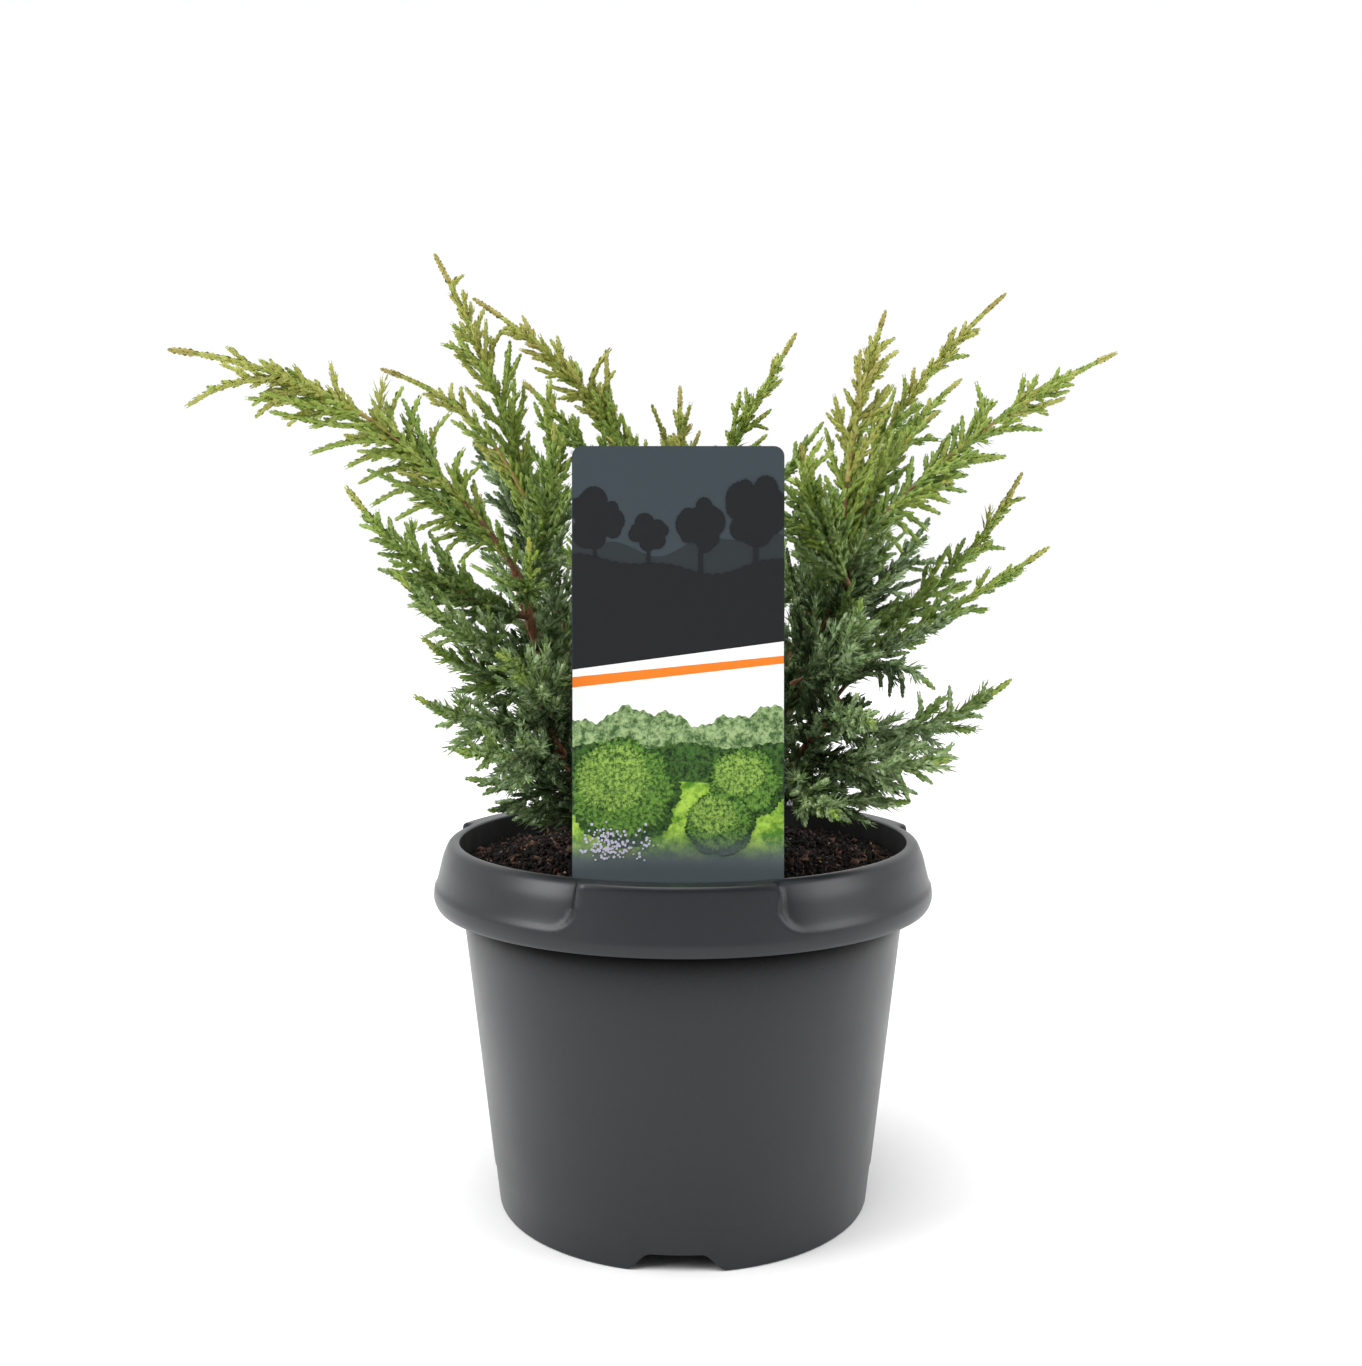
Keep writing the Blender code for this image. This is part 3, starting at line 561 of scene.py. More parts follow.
def print_material(name, colour, mottle=None, grain=3.0, fades=False):
    """Satin ink on plastic card. A second ink may be mottled in, and it may fade to slate at its foot."""
    material, shader = new_material(name, colour, 0.5, 0.2)
    if mottle is None:
        return material
    place = add_node(shader, "ShaderNodeTexCoord")
    cloud = add_node(shader, "ShaderNodeTexNoise", {
        "Vector": place.outputs["Object"], "Scale": 1 / (grain * MM), "Detail": 6.0, "Roughness": 0.75})
    inks = add_node(shader, "ShaderNodeValToRGB", {"Fac": cloud.outputs["Fac"]}, shader.inputs["Base Color"],
                    ((0.41, colour), (0.59, mottle)))
    if fades:
        height = add_node(shader, "ShaderNodeSeparateXYZ", {"Vector": place.outputs["Object"]})
        fade = add_node(shader, "ShaderNodeMapRange", {
            "Value": height.outputs["Z"], "From Min": (LABEL_SHOULDER + PICTURE_FADE_LOW) * MM,
            "From Max": (LABEL_SHOULDER + PICTURE_FADE_HIGH) * MM}, interpolation_type="SMOOTHSTEP")
        add_node(shader, "ShaderNodeMixRGB", {
            "Fac": fade.outputs["Result"], "Color1": from_hex(FOOT_SLATE), "Color2": inks.outputs["Color"]},
                 shader.inputs["Base Color"])
    return material


half_card = LABEL_WIDTH / 2
half_tongue = TONGUE_WIDTH / 2
half_tip = TONGUE_TIP_WIDTH / 2
card_outline = [
    (-half_tip, 0.0), (half_tip, 0.0), (half_tongue, TONGUE_POINT), (half_tongue, CARD_LOW),
    (half_card, CARD_LOW), (half_card, CARD_TOP), (-half_card, CARD_TOP), (-half_card, CARD_LOW),
    (-half_tongue, CARD_LOW), (-half_tongue, TONGUE_POINT),
]
dark_ink = print_material("near_black_ink", "1d1e20")
white_ink = print_material("bare_white_card", "eef0ee")
FRONT_LAYER = LABEL_THICKNESS / 2
TOP_CORNERS = (5, 6)
slate_ink = print_material("slate_ink", SLATE)
card_piece("label_card", card_outline, FRONT_LAYER, LABEL_THICKNESS, slate_ink, TOP_CORNERS)

INK = 0.04
EDGE = 0.25
edge_x = half_card - EDGE
print_layers = 0


def print_shape(name, outline, ink):
    """The next layer of print on the card's front. Heights are given above the card's shoulder."""
    global print_layers
    print_layers += 1
    raised = [(min(max(x, -edge_x), edge_x), CARD_LOW + height) for x, height in outline]
    card_piece(name, raised, FRONT_LAYER + print_layers * INK, print_layers * INK, ink)


def skyline(low, high, *waves):
    """A shape right across the card: a straight foot and a top edge that is a sum of waves."""
    outline = [(-edge_x, low), (edge_x, low)]
    for step in range(SKYLINE_STEPS + 1):
        share = step / SKYLINE_STEPS
        rise = sum(size * math.sin(count * math.tau * share + start) for size, count, start in waves)
        outline.append((edge_x * (1 - 2 * share), high + rise))
    return outline


def leafy_crown(across, middle, half_width, half_height, lobes, raggedness):
    """A full crown: the outline of a ring of round lobes about its middle, with a ragged leafy edge."""
    outline = []
    for step in range(CROWN_STEPS):
        turn = math.tau * step / CROWN_STEPS
        edge = 0.0
        for lobe in range(lobes):
            heading = math.tau * (lobe + 0.35 * math.sin(2.1 * lobe + across)) / lobes
            out = 0.62 + 0.10 * math.sin(1.7 * lobe + middle)
            size = 1.0 - out + 0.06 * math.cos(3.3 * lobe)
            past = out * math.sin(turn - heading)
            if abs(past) < size and math.cos(turn - heading) > 0:
                edge = max(edge, out * math.cos(turn - heading) + math.sqrt(size ** 2 - past ** 2))
        edge = max(edge, 0.7)
        edge *= 1.0 + raggedness * (math.sin(43 * turn + across) + 0.7 * math.sin(71 * turn + middle))
        outline.append((across + half_width * edge * math.cos(turn),
                        middle + half_height * edge * math.sin(turn)))
    return outline


SKYLINE_STEPS = 120
CROWN_STEPS = 240
TREE_TRUNK_FOOT = 106.0
far_hills = skyline(60.0, 118.0, (3.0, 1.1, 0.4), (1.6, 2.7, 1.0))
print_shape("print_far_hills", far_hills, print_material("far_hill_ink", "2b3033"))
ROUND_TREES = (
    # across, middle of the crown, half width, half height, lobes
    (-28.0, 126.0, 9.5, 10.5, 9),
    (-10.0, 121.5, 6.5, 6.5, 7),
    (7.5, 124.0, 8.0, 9.0, 8),
    (26.0, 129.0, 10.5, 12.0, 10),
)
for index, (across, middle, half_width, half_height, lobes) in enumerate(ROUND_TREES, start=1):
    crown = leafy_crown(across, middle, half_width, half_height, lobes, 0.012)
    print_shape(f"print_tree_{index}", crown, dark_ink)
    print_shape(f"print_tree_trunk_{index}", [
        (across - 0.9, TREE_TRUNK_FOOT), (across + 0.9, TREE_TRUNK_FOOT), (across + 0.4, middle),
        (across - 0.4, middle)], dark_ink)
near_hills = skyline(60.0, 111.0, (2.4, 0.9, 2.6), (1.2, 2.2, 0.3), (0.25, 23.0, 0.0))
print_shape("print_near_hills", near_hills, dark_ink)
white_band = [(-edge_x, 40.0), (edge_x, 40.0), (edge_x, 85.0), (-edge_x, 75.5)]
print_shape("print_white_band", white_band, white_ink)
stripe = [(-edge_x, 69.5), (edge_x, 77.6), (edge_x, 80.2), (-edge_x, 73.0)]
print_shape("print_stripe", stripe, print_material("orange_ink", "e87a24"))
far_trees = skyline(38.0, 60.0, (2.4, 1.6, 0.9), (1.3, 4.3, 0.0), (0.6, 11.0, 0.0), (0.3, 29.0, 0.0))
print_shape("print_far_trees", far_trees, print_material("far_tree_print", "3c5a30", "9ab27c", 2.2))
hedge = skyline(30.0, 50.0, (1.0, 2.4, 0.9), (0.3, 17.0, 0.0), (0.2, 37.0, 0.0))
print_shape("print_hedge", hedge, print_material("hedge_print", "0f2410", "44692c", 1.7))
lawn = skyline(3.0, 38.0, (0.5, 1.4, 2.0))
print_shape("print_lawn", lawn, print_material("lawn_print", "477a1a", "a5c94e", 6.0, True))
CLIPPED_SHRUBS = (
    # across, middle of the shrub, half width, half height, lobes
    (23.0, 37.0, 13.0, 12.0, 13),
    (-18.5, 34.0, 18.5, 18.0, 17),
    (14.0, 23.5, 11.5, 10.5, 12),
)
SHRUB_LAYERS = (
    # name, shift left and up, width, height (all as shares of the shrub), more lobes, raggedness, two inks
    ("shade", 0.0, 0.0, 1.0, 1.0, 0, 0.02, "0c200c", "3c6122"),
    ("body", 0.06, 0.10, 0.90, 0.88, 2, 0.05, "1b3a12", "68923a"),
    ("light", 0.20, 0.30, 0.62, 0.58, 3, 0.08, "27501a", "93b352"),
)
shrub_inks = {name: print_material(f"shrub_{name}_print", dark, light, 1.2, True)
              for name, *_, dark, light in SHRUB_LAYERS}
for index, (across, middle, half_width, half_height, lobes) in enumerate(CLIPPED_SHRUBS, start=1):
    for name, left, up, wide, high, more_lobes, raggedness, _, _ in SHRUB_LAYERS:
        print_shape(f"print_shrub_{index}_{name}", leafy_crown(
            across - left * half_width, middle + up * half_height, wide * half_width, high * half_height,
            lobes + more_lobes, raggedness), shrub_inks[name])
FLOWERS = 150
flower_rng = random.Random(12)
flower_layer = FRONT_LAYER + (print_layers + 2) * INK
flower_bm = bmesh.new()
for _ in range(FLOWERS):
    place = (flower_rng.triangular(-34.0, -6.0, -24.0),
             CARD_LOW + flower_rng.triangular(11.0, 25.0, 15.0), flower_layer - INK / 2)
    made = bmesh.ops.create_cone(flower_bm, cap_ends=True, segments=6, radius1=flower_rng.uniform(0.25, 0.6),
                                 radius2=0.2, depth=INK)
    bmesh.ops.translate(flower_bm, vec=place, verts=made["verts"])
bmesh.ops.transform(flower_bm, matrix=label_turn, verts=flower_bm.verts)
lilac_ink = print_material("lilac_print", "bdb9cf")
add_piece("print_flowers", flower_bm, lilac_ink, ["label"], 30.0)


# The trunk and the boughs: juniper bark, thin and red-brown, that peels lengthwise in narrow strips. Each
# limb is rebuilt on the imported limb's own line and taper, with ridges and furrows that run along it.
def limb_line(node, sides):
    """A packed limb's ring centres and radii, from its foot to its tip."""
    corners = corner_points(node)
    spread = np.linalg.norm(corners[:, None] - corners[None], axis=2)
    first, last = np.unravel_index(spread.argmax(), spread.shape)
    chord = corners[last] - corners[first]
    order = np.argsort(corners @ (chord / np.linalg.norm(chord)))
    rings = corners[order].reshape(-1, sides, 3)
    centres = rings.mean(axis=1)
    radii = np.linalg.norm(rings - centres[:, None], axis=2).mean(axis=1)
    if centres[0, 2] > centres[-1, 2]:
        return centres[::-1], radii[::-1]
    return centres, radii


TRUNK_SIDES_PACKED = 12
BOUGH_SIDES_PACKED = 8
BARK_SIDES = 28
BARK_RINGS = 72
STRIP_RELIEF = 0.16
FLAKE_RELIEF = 0.10
KNOT_RELIEF = 0.14


def bark_limb(name, node, sides):
    """A limb with bark relief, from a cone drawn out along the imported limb's line."""
    centres, radii = limb_line(node, sides)
    run = np.concatenate(([0.0], np.cumsum(np.linalg.norm(np.diff(centres, axis=0), axis=1))))
    bm = bmesh.new()
    bmesh.ops.create_cone(bm, cap_ends=True, segments=BARK_SIDES, radius1=1.0, radius2=1.0, depth=1.0)
    upright = [edge for edge in bm.edges if abs(edge.verts[0].co.z - edge.verts[1].co.z) > 0.5]
    bmesh.ops.subdivide_edges(bm, edges=upright, cuts=BARK_RINGS, use_grid_fill=True)
    start = Vector(centres[0])
    for vert in bm.verts:
        share = vert.co.z + 0.5
        length = share * run[-1]
        centre = Vector([np.interp(length, run, centres[:, axis]) for axis in range(3)])
        ahead = Vector([np.interp(min(length + 3.0, run[-1]), run, centres[:, axis]) for axis in range(3)])
        behind = Vector([np.interp(max(length - 3.0, 0.0), run, centres[:, axis]) for axis in range(3)])
        direction = (ahead - behind).normalized()
        if share < 0.02 and node == "trunk":
            direction = Vector((0.0, 0.0, 1.0))
        across = direction.cross(Vector((0.31, 0.95, 0.05))).normalized()
        above = across.cross(direction)
        angle = math.atan2(vert.co.y, vert.co.x)
        radius = float(np.interp(length, run, radii))
        strips = noise.noise(Vector((3.2 * math.cos(angle), 3.2 * math.sin(angle), length * 0.07)) + start)
        flakes = noise.noise(Vector((7.0 * math.cos(angle), 7.0 * math.sin(angle), length * 0.22)) - start)
        knots = noise.noise(Vector((math.cos(angle), math.sin(angle), length * 0.12)) + start * 2)
        radius *= 1.0 + STRIP_RELIEF * strips + FLAKE_RELIEF * flakes + KNOT_RELIEF * knots
        vert.co = centre + (across * math.cos(angle) + above * math.sin(angle)) * radius
    bmesh.ops.recalc_face_normals(bm, faces=bm.faces)
    add_piece(name, bm, bark_material, [node], 70.0)
    return centres, run


bark_material, bark_shader = new_material("peeling_juniper_bark", "8a5238", 0.82, 0.25)
bark_place = add_node(bark_shader, "ShaderNodeTexCoord")
bark_stretch = add_node(bark_shader, "ShaderNodeMapping", {
    "Vector": bark_place.outputs["Object"], "Scale": (1.0, 1.0, 0.25)})
bark_strips = add_node(bark_shader, "ShaderNodeTexNoise", {
    "Vector": bark_stretch.outputs["Vector"], "Scale": 1 / (1.4 * MM), "Detail": 5.0, "Roughness": 0.65})
add_node(bark_shader, "ShaderNodeValToRGB", {"Fac": bark_strips.outputs["Fac"]},
         bark_shader.inputs["Base Color"], ((0.35, "53362a"), (0.68, "b07a58")))
add_node(bark_shader, "ShaderNodeBump", {
    "Height": bark_strips.outputs["Fac"], "Strength": 0.6, "Distance": 0.4 * MM},
         bark_shader.inputs["Normal"])

bark_limb("trunk_bark", "trunk", TRUNK_SIDES_PACKED)
bough_names = sorted(name for name in frame["nodes"] if name.startswith("bough_"))
boughs = {name: bark_limb(f"{name}_bark", name, BOUGH_SIDES_PACKED) for name in bough_names}


# The foliage: each packed spray becomes a tapering twig that ends in a slender leader, with upswept side
# shoots and short blunt shoots on those. Outer shoots are cords of tiny scale leaves in crossed pairs, and
# low and inner ones carry some loose needle leaves. All of it grows by one seeded rule in the spray's room.
GOLDEN_TURN = math.radians(137.5)
# Leaves stand this far apart along a shoot, in millimetres.
SCALE_PITCH = 1.65
NEEDLE_PITCH = 2.2
# Spacing along a twig: a step in millimetres, and how much wider it gets where the spray is wide.
LEADER_STEP = 1.3
STEP_FOR_WIDTH = 0.045
KNOB_STEP = 3.2
LONGEST_SIDE_SHOOT = 52.0
SHORTEST_SIDE_SHOOT = 3.0
SHORTEST_KNOB = 2.7
KNOBS_SHORTEN = 0.62
FORK_CHANCE = 0.34
# How far a shoot slants from what it grows on, in degrees.
SIDE_SLANT = (22.0, 42.0)
KNOB_SLANT = (26.0, 44.0)
# A twig's radius at its foot: at least, and how much more it has once the spray is this long.
TWIG_RADIUS = 0.35
TWIG_RADIUS_MORE = 1.05
FULL_TWIG_LENGTH = 90.0
TWIG_STEPS = 24
# By slot: a spray's tone, from 0 in deep shade to 1 at the freshest tips, and the share of its shoots
# that carry needle leaves.
FRESHNESS = {"foliage_fresh": 0.56, "foliage_green": 0.38, "foliage_blue": 0.22}
NEEDLE_SHARE = {"foliage_fresh": 0.02, "foliage_green": 0.08, "foliage_blue": 0.55}
AS_ITS_NEIGHBOURS = (0.0, 1.0, 1.0)
HABITS = {
    # sprays that differ from their neighbours: lift in tone, looseness, spread. The lift is partly painted
    # light
    # and shade: sprays that hang in more light or more shade than their neighbours take lighter or darker
    # greens
    "left_1": (-0.03, 1.08, 0.88),
    "left_2": (-0.01, 0.95, 0.90),
    "left_3": (-0.05, 1.00, 0.85),
    "left_4": (0.16, 0.95, 1.00),
    "left_6": (0.04, 1.35, 0.85),
    "front_left_1": (0.08, 0.95, 1.00),
    "front_left_5": (0.12, 0.95, 1.00),
    "back_left_1": (-0.10, 1.00, 1.00),
    "back_left_2": (-0.05, 1.15, 0.80),
    "back_left_3": (-0.36, 1.05, 0.80),
    "middle_1": (-0.07, 0.85, 1.00),
    "middle_2": (0.05, 0.92, 1.10),
    "middle_3": (0.06, 0.92, 1.00),
    "middle_4": (0.14, 1.00, 1.00),
    "middle_5": (0.05, 1.05, 1.00),
    "middle_6": (-0.14, 1.10, 1.00),
    "right_1": (-0.06, 1.05, 0.80),
    "right_2": (0.02, 0.84, 1.00),
    "right_3": (-0.10, 0.92, 1.05),
    "right_4": (0.00, 1.15, 0.80),
    "right_5": (0.02, 1.15, 0.85),
    "right_6": (-0.10, 1.15, 0.50),
    "right_7": (-0.12, 0.72, 1.20),
    "back_right_1": (-0.03, 1.30, 0.85),
    "back_right_2": (0.03, 1.15, 0.85),
    "back_right_3": (-0.34, 1.00, 0.90),
    "front_right_1": (-0.12, 1.60, 0.35),
    "front_right_2": (0.05, 0.90, 0.85),
    "front_right_3": (0.05, 0.85, 1.00),
    "front_right_4": (0.06, 0.90, 1.05),
    "front_right_5": (0.05, 0.72, 1.15),
    "front_right_6": (0.02, 0.95, 0.55),
    "front_right_7": (0.02, 0.75, 1.05),
    "back_6": (0.00, 1.20, 0.45),
}
LOPSIDED = {
    # sprays that aren't even above and below: rise of the twig's middle in millimetres, then how far the
    # side shoots above and below it reach
    "left_1": (9.0, 0.55, 1.28),
    "left_3": (-6.0, 1.20, 0.50),
    "back_left_2": (14.0, 0.50, 1.20),
    "right_1": (0.0, 0.80, 1.10),
    "right_4": (-9.0, 1.00, 0.90),
    "right_6": (2.0, 1.00, 0.40),
    "front_right_1": (10.0, 0.50, 1.00),
    "front_right_2": (0.0, 0.70, 1.10),
}
EVEN = (0.0, 1.0, 1.0)
SHOWN_TWIGS = {
    # sprays whose twig shows bare from the front, up to this share of it
    "left_1": 0.60, "right_1": 0.55, "right_2": 0.60, "right_3": 0.45, "middle_3": 0.50, "back_left_2": 0.55,
}
LEADER_START = 0.30
SIDE_LEADERS = {
    # side shoots that stand out from a spray: share of the twig where they start, place across, height
    "left_1": (
        (0.63, -171, 297), (0.62, -149, 298), (0.62, -148, 294), (0.56, -136, 291), (0.54, -123, 312),
        (0.43, -105, 306), (0.40, -100, 304), (0.34, -94, 301), (0.28, -84, 296), (0.20, -79, 283),
        (0.32, -132, 282), (0.29, -119, 277), (0.25, -116, 272), (0.20, -112, 264), (0.14, -102, 259),
        (0.10, -96, 255), (0.05, -91, 251), (0.09, -87, 247), (0.06, -81, 244), (0.19, -74, 277)),
    "left_2": (
        (0.74, -103, 258), (0.72, -108, 255), (0.67, -104, 250), (0.50, -94, 249), (0.46, -89, 246),
        (0.33, -84, 245), (0.20, -78, 244)),
    "left_3": ((0.75, -93, 228), (0.53, -90, 217), (0.47, -86, 214), (0.47, -77, 226)),
    "left_4": ((0.47, -84, 204),),
    "left_6": ((0.05, -71, 244), (0.05, -77, 242)),
    "back_left_1": (
        (0.88, -89, 358), (0.80, -92, 349), (0.66, -79, 344), (0.66, -90, 335), (0.56, -70, 338),
        (0.56, -95, 330), (0.51, -85, 324), (0.41, -65, 325)),
    "back_left_2": ((0.71, -91, 313), (0.66, -86, 310)),
    "back_left_3": ((0.71, -84, 298), (0.58, -86, 285), (0.58, -76, 288), (0.41, -83, 269)),
    "middle_1": (
        (0.74, -65, 334), (0.66, -56, 332), (0.61, -58, 324), (0.53, -44, 323), (0.47, -29, 326),
        (0.42, -27, 317), (0.47, -48, 308)),
    "middle_3": ((0.81, -49, 309), (0.69, -45, 296)),
    "middle_4": ((0.48, -12, 306), (0.60, 3, 308)),
    "middle_5": ((0.70, 36, 313), (0.63, 27, 308), (0.56, 32, 296), (0.58, 23, 305)),
    "back_right_1": ((0.69, 117, 335), (0.59, 113, 326), (0.51, 98, 321), (0.39, 88, 317)),
    "back_right_2": ((0.47, 103, 304), (0.49, 97, 299)),
    "back_right_3": ((0.68, 100, 249), (0.62, 110, 244), (0.50, 87, 241), (0.75, 105, 262), (0.66, 94, 247)),
    "right_1": (
        (0.72, 148, 311), (0.73, 146, 315), (0.59, 130, 314), (0.46, 112, 311), (0.60, 138, 300),
        (0.41, 133, 293), (0.28, 120, 283), (0.24, 103, 280), (0.17, 105, 270), (0.14, 99, 266),
        (0.13, 95, 262), (0.10, 91, 256), (0.07, 88, 251), (0.04, 82, 247), (0.30, 100, 289),
        (0.39, 105, 297)),
    "right_2": (
        (0.78, 77, 325), (0.74, 69, 325), (0.64, 80, 322), (0.60, 64, 318), (0.53, 60, 306), (0.45, 56, 295),
        (0.38, 58, 290)),
    "right_3": ((0.72, 97, 290), (0.49, 75, 279), (0.41, 76, 268)),
    "right_4": ((0.84, 130, 268), (0.69, 118, 258), (0.64, 123, 249)),
    "right_5": ((0.74, 123, 239), (0.50, 105, 226)),
    "right_7": (
        (0.63, 41, 279), (0.69, 46, 282), (0.73, 49, 286), (0.52, 38, 273), (0.70, 53, 282), (0.46, 40, 269)),
    "front_right_1": ((0.58, 76, 210), (0.44, 71, 198), (0.53, 75, 198), (0.39, 68, 200)),
    "front_right_2": ((0.76, 107, 199), (0.62, 104, 189), (0.57, 95, 198), (0.40, 84, 196)),
    "front_right_3": ((0.79, 89, 182), (0.64, 83, 169), (0.71, 89, 174), (0.54, 77, 162)),
    "front_right_4": ((0.63, 74, 158), (0.52, 66, 157)),
    "front_left_1": ((0.51, -82, 188),),
}
LEADER_TONES = (
    # the leader in three lengths: from share, to share, lighter by, thickness
    (0.0, 0.5, 0.06, 1.1), (0.5, 0.86, 0.12, 1.18), (0.86, 1.0, 0.34, 1.1),
)
# The share of a twig at its tip that is leader only, with no side shoots.
BARE_TIP = {"foliage_fresh": 0.14, "foliage_green": 0.09, "foliage_blue": 0.06}
UPSWEEP = np.array((0.0, 0.0, 0.10))
# Boughs: heights between which the bark shows from the front, how much shorter the shoots get towards the
# tip, and the share of the shoots growing to the back that are turned to the front.
BARE_FRONTS = {"bough_left": (212.0, 240.0)}
SHRINKS = {"bough_front_right": 0.5}
FRONT_SHARE = {"bough_right": 0.65, "bough_front_right": 0.65, "bough_front": 0.4}
INNER_NEEDLES = 0.35
growth = np.random.default_rng(1893)
slot_of = {entry["node"]: entry["material_slot"] for entry in frame["record"]["subparts"]}
shoots = []
twigs = []


def unit(vector):
    """The vector at length one."""
    return vector / max(float(np.linalg.norm(vector)), 1e-9)


def crossed(direction):
    """Two directions across a shoot, at right angles to each other."""
    steep = abs(direction[2]) > 0.95
    first = unit(np.cross(direction, np.array((1.0, 0.0, 0.0) if steep else (0.21, 0.13, 0.97))))
    return first, np.cross(direction, first)


class SprayRoom:
    """The room that a packed spray gives its foliage: its bowed middle line and its width along it."""

    def __init__(self, node):
        self.name = node[len("foliage_"):]
        corners = corner_points(node)
        spread = np.linalg.norm(corners[:, None] - corners[None], axis=2)
        ends = corners[list(np.unravel_index(spread.argmax(), spread.shape))]
        bough_points = boughs["bough_" + self.name.rsplit("_", 1)[0]][0]
        reach = [np.linalg.norm(bough_points - end, axis=1).min() for end in ends]
        self.root, self.tip = ends if reach[0] < reach[1] else ends[::-1]
        chord = self.tip - self.root
        share = ((corners - self.root) @ chord / (chord @ chord)).clip(0.0, 1.0)
        pull = 2 * share * (1 - share)
        rest = corners - (1 - share)[:, None] ** 2 * self.root - share[:, None] ** 2 * self.tip
        self.middle = (rest * pull[:, None]).sum(axis=0) / (pull ** 2).sum()
        self.middle[2] += LOPSIDED.get(self.name, EVEN)[0]
        distance = np.linalg.norm(corners - self.at(share), axis=1)
        stations = np.linspace(0.1, 0.9, 5)
        widths = [distance[abs(share - station) < 0.14].mean() for station in stations]
        self.stations = np.concatenate(([0.0], stations, [1.0]))
        self.widths = np.concatenate(([widths[0] * 0.8], widths, [1.5]))
        self.length = float(np.linalg.norm(np.diff(self.at(np.linspace(0, 1, 20)), axis=0), axis=1).sum())

    def at(self, share):
        """Places on the middle line."""
        share = np.atleast_1d(share)[:, None]
        return (1 - share) ** 2 * self.root + 2 * share * (1 - share) * self.middle + share ** 2 * self.tip

    def direction(self, share):
        """The middle line's direction."""
        return unit((1 - share) * (self.middle - self.root) + share * (self.tip - self.middle))

    def width(self, share):
        """The room's radius."""
        return float(np.interp(share, self.stations, self.widths))


# Foliage stops this far before the card, beside it and above it, over the compost and over the pot's edge.
CLEAR_BEFORE_CARD = 1.6
CLEAR_BESIDE_CARD = 1.5
CLEAR_ABOVE_CARD = 2.0
CLEAR_OVER_COMPOST = 3.0
CLEAR_OVER_POT = 2.0
POT_MOUTH = 82.0
card_normal = np.array(label_turn.to_3x3() @ Vector((0.0, 0.0, 1.0)))
card_point = np.array(label_foot)


def room_for(points):
    """How many of a shoot's points grow before it would meet the card, the pot or the compost."""
    before_card = (points - card_point) @ card_normal
    beside_card = abs(points[:, 0] - card_point[0]) > half_card + CLEAR_BESIDE_CARD
    above_card = points[:, 2] > label_high.z / MM + CLEAR_ABOVE_CARD
    in_mouth = np.hypot(points[:, 0], points[:, 1]) < POT_MOUTH
    free = (before_card < -CLEAR_BEFORE_CARD) | beside_card | above_card
    free &= points[:, 2] > compost_top + CLEAR_OVER_COMPOST
    free &= in_mouth | (points[:, 2] > POT_HEIGHT + CLEAR_OVER_POT)
    return len(points) if free.all() else int(np.argmin(free))


def add_shoot(start, direction, length, lean, tone, kind, thickness):
    """Record one leafy shoot that starts in a direction and bends towards another."""
    bent = unit(direction + lean)
    steps = max(3, int(round(length / (SCALE_PITCH if kind == "scale" else NEEDLE_PITCH))) + 1)
    share = np.linspace(0.0, 1.0, steps)[:, None]
    points = start + length * (direction * (share - 0.5 * share ** 2) + bent * 0.5 * share ** 2)
    wander = growth.normal(0.0, 0.012 * length, 3)
    points = points + wander * np.sin(share * math.pi * 1.5)
    grown = room_for(points)
    if grown < 3:
        return None
    shoots.append((points[:grown], tone, kind, thickness))
    return points[:grown]


def kind_of_leaf(needles):
    """Whether a shoot carries needle leaves or scale leaves."""
    return "needle" if growth.uniform() < needles else "scale"


def slanted(ahead, turn, slant_degrees, sides):
    """A direction that slants away from the one ahead, with the way out that it slants to."""
    side_a, side_b = sides
    outward = side_a * math.cos(turn) + side_b * math.sin(turn)
    slant = math.radians(growth.uniform(*slant_degrees))
    return unit(ahead * math.cos(slant) + outward * math.sin(slant)), outward, slant


def grow_knobs(points, tone, needles, longest, may_fork, apart=1.0):
    """Short blunt shoots along both sides of a shoot, and now and then a longer one with its own."""
    length = float(np.linalg.norm(points[-1] - points[0]))
    sides = crossed(unit(points[-1] - points[0]))
    roll = growth.uniform(0.0, math.pi)
    travelled = growth.uniform(1.5, 4.0)
    side = 0
    while travelled < 0.88 * length - 1.5:
        share = travelled / length
        index = min(int(share * (len(points) - 1)), len(points) - 2)
        ahead = unit(points[index + 1] - points[index])
        turn = roll + side * math.pi + growth.normal(0.0, 0.55)
        heading, _, _ = slanted(ahead, turn, KNOB_SLANT, sides)
        forks = may_fork and length > 18.0 and 0.1 < share < 0.6 and growth.uniform() < FORK_CHANCE
        reach = length * growth.uniform(0.3, 0.45) if forks else longest * (1.0 - KNOBS_SHORTEN * share)
        reach = max(reach * growth.uniform(0.7, 1.15), SHORTEST_KNOB)
        new_tone = tone + 0.05 * share + growth.normal(0.0, 0.03)
        kind = kind_of_leaf(needles * (1.1 - share))
        grown = add_shoot(points[index], heading, reach, ahead * 0.6, new_tone, kind,
                          growth.uniform(0.84, 0.98))
        if forks and grown is not None:
            grow_knobs(grown, new_tone, needles, 5.0, False, apart)
        travelled += KNOB_STEP * apart * growth.uniform(0.75, 1.3)
        side += 1


def grow_leader(room, fresh, shown):
    """The leafy end of a spray's twig, paler towards its tip."""
    start = max(LEADER_START, shown)
    steps = int(room.length * (1.0 - start) / SCALE_PITCH)
    leader = room.at(np.linspace(start, 1.0, steps))
    leader = leader[:room_for(leader)]
    for start_share, end_share, lighter, thickness in LEADER_TONES:
        part = leader[int(start_share * steps):int(end_share * steps) + 1]
        if len(part) > 2:
            shoots.append((part, fresh + lighter, "scale", thickness))


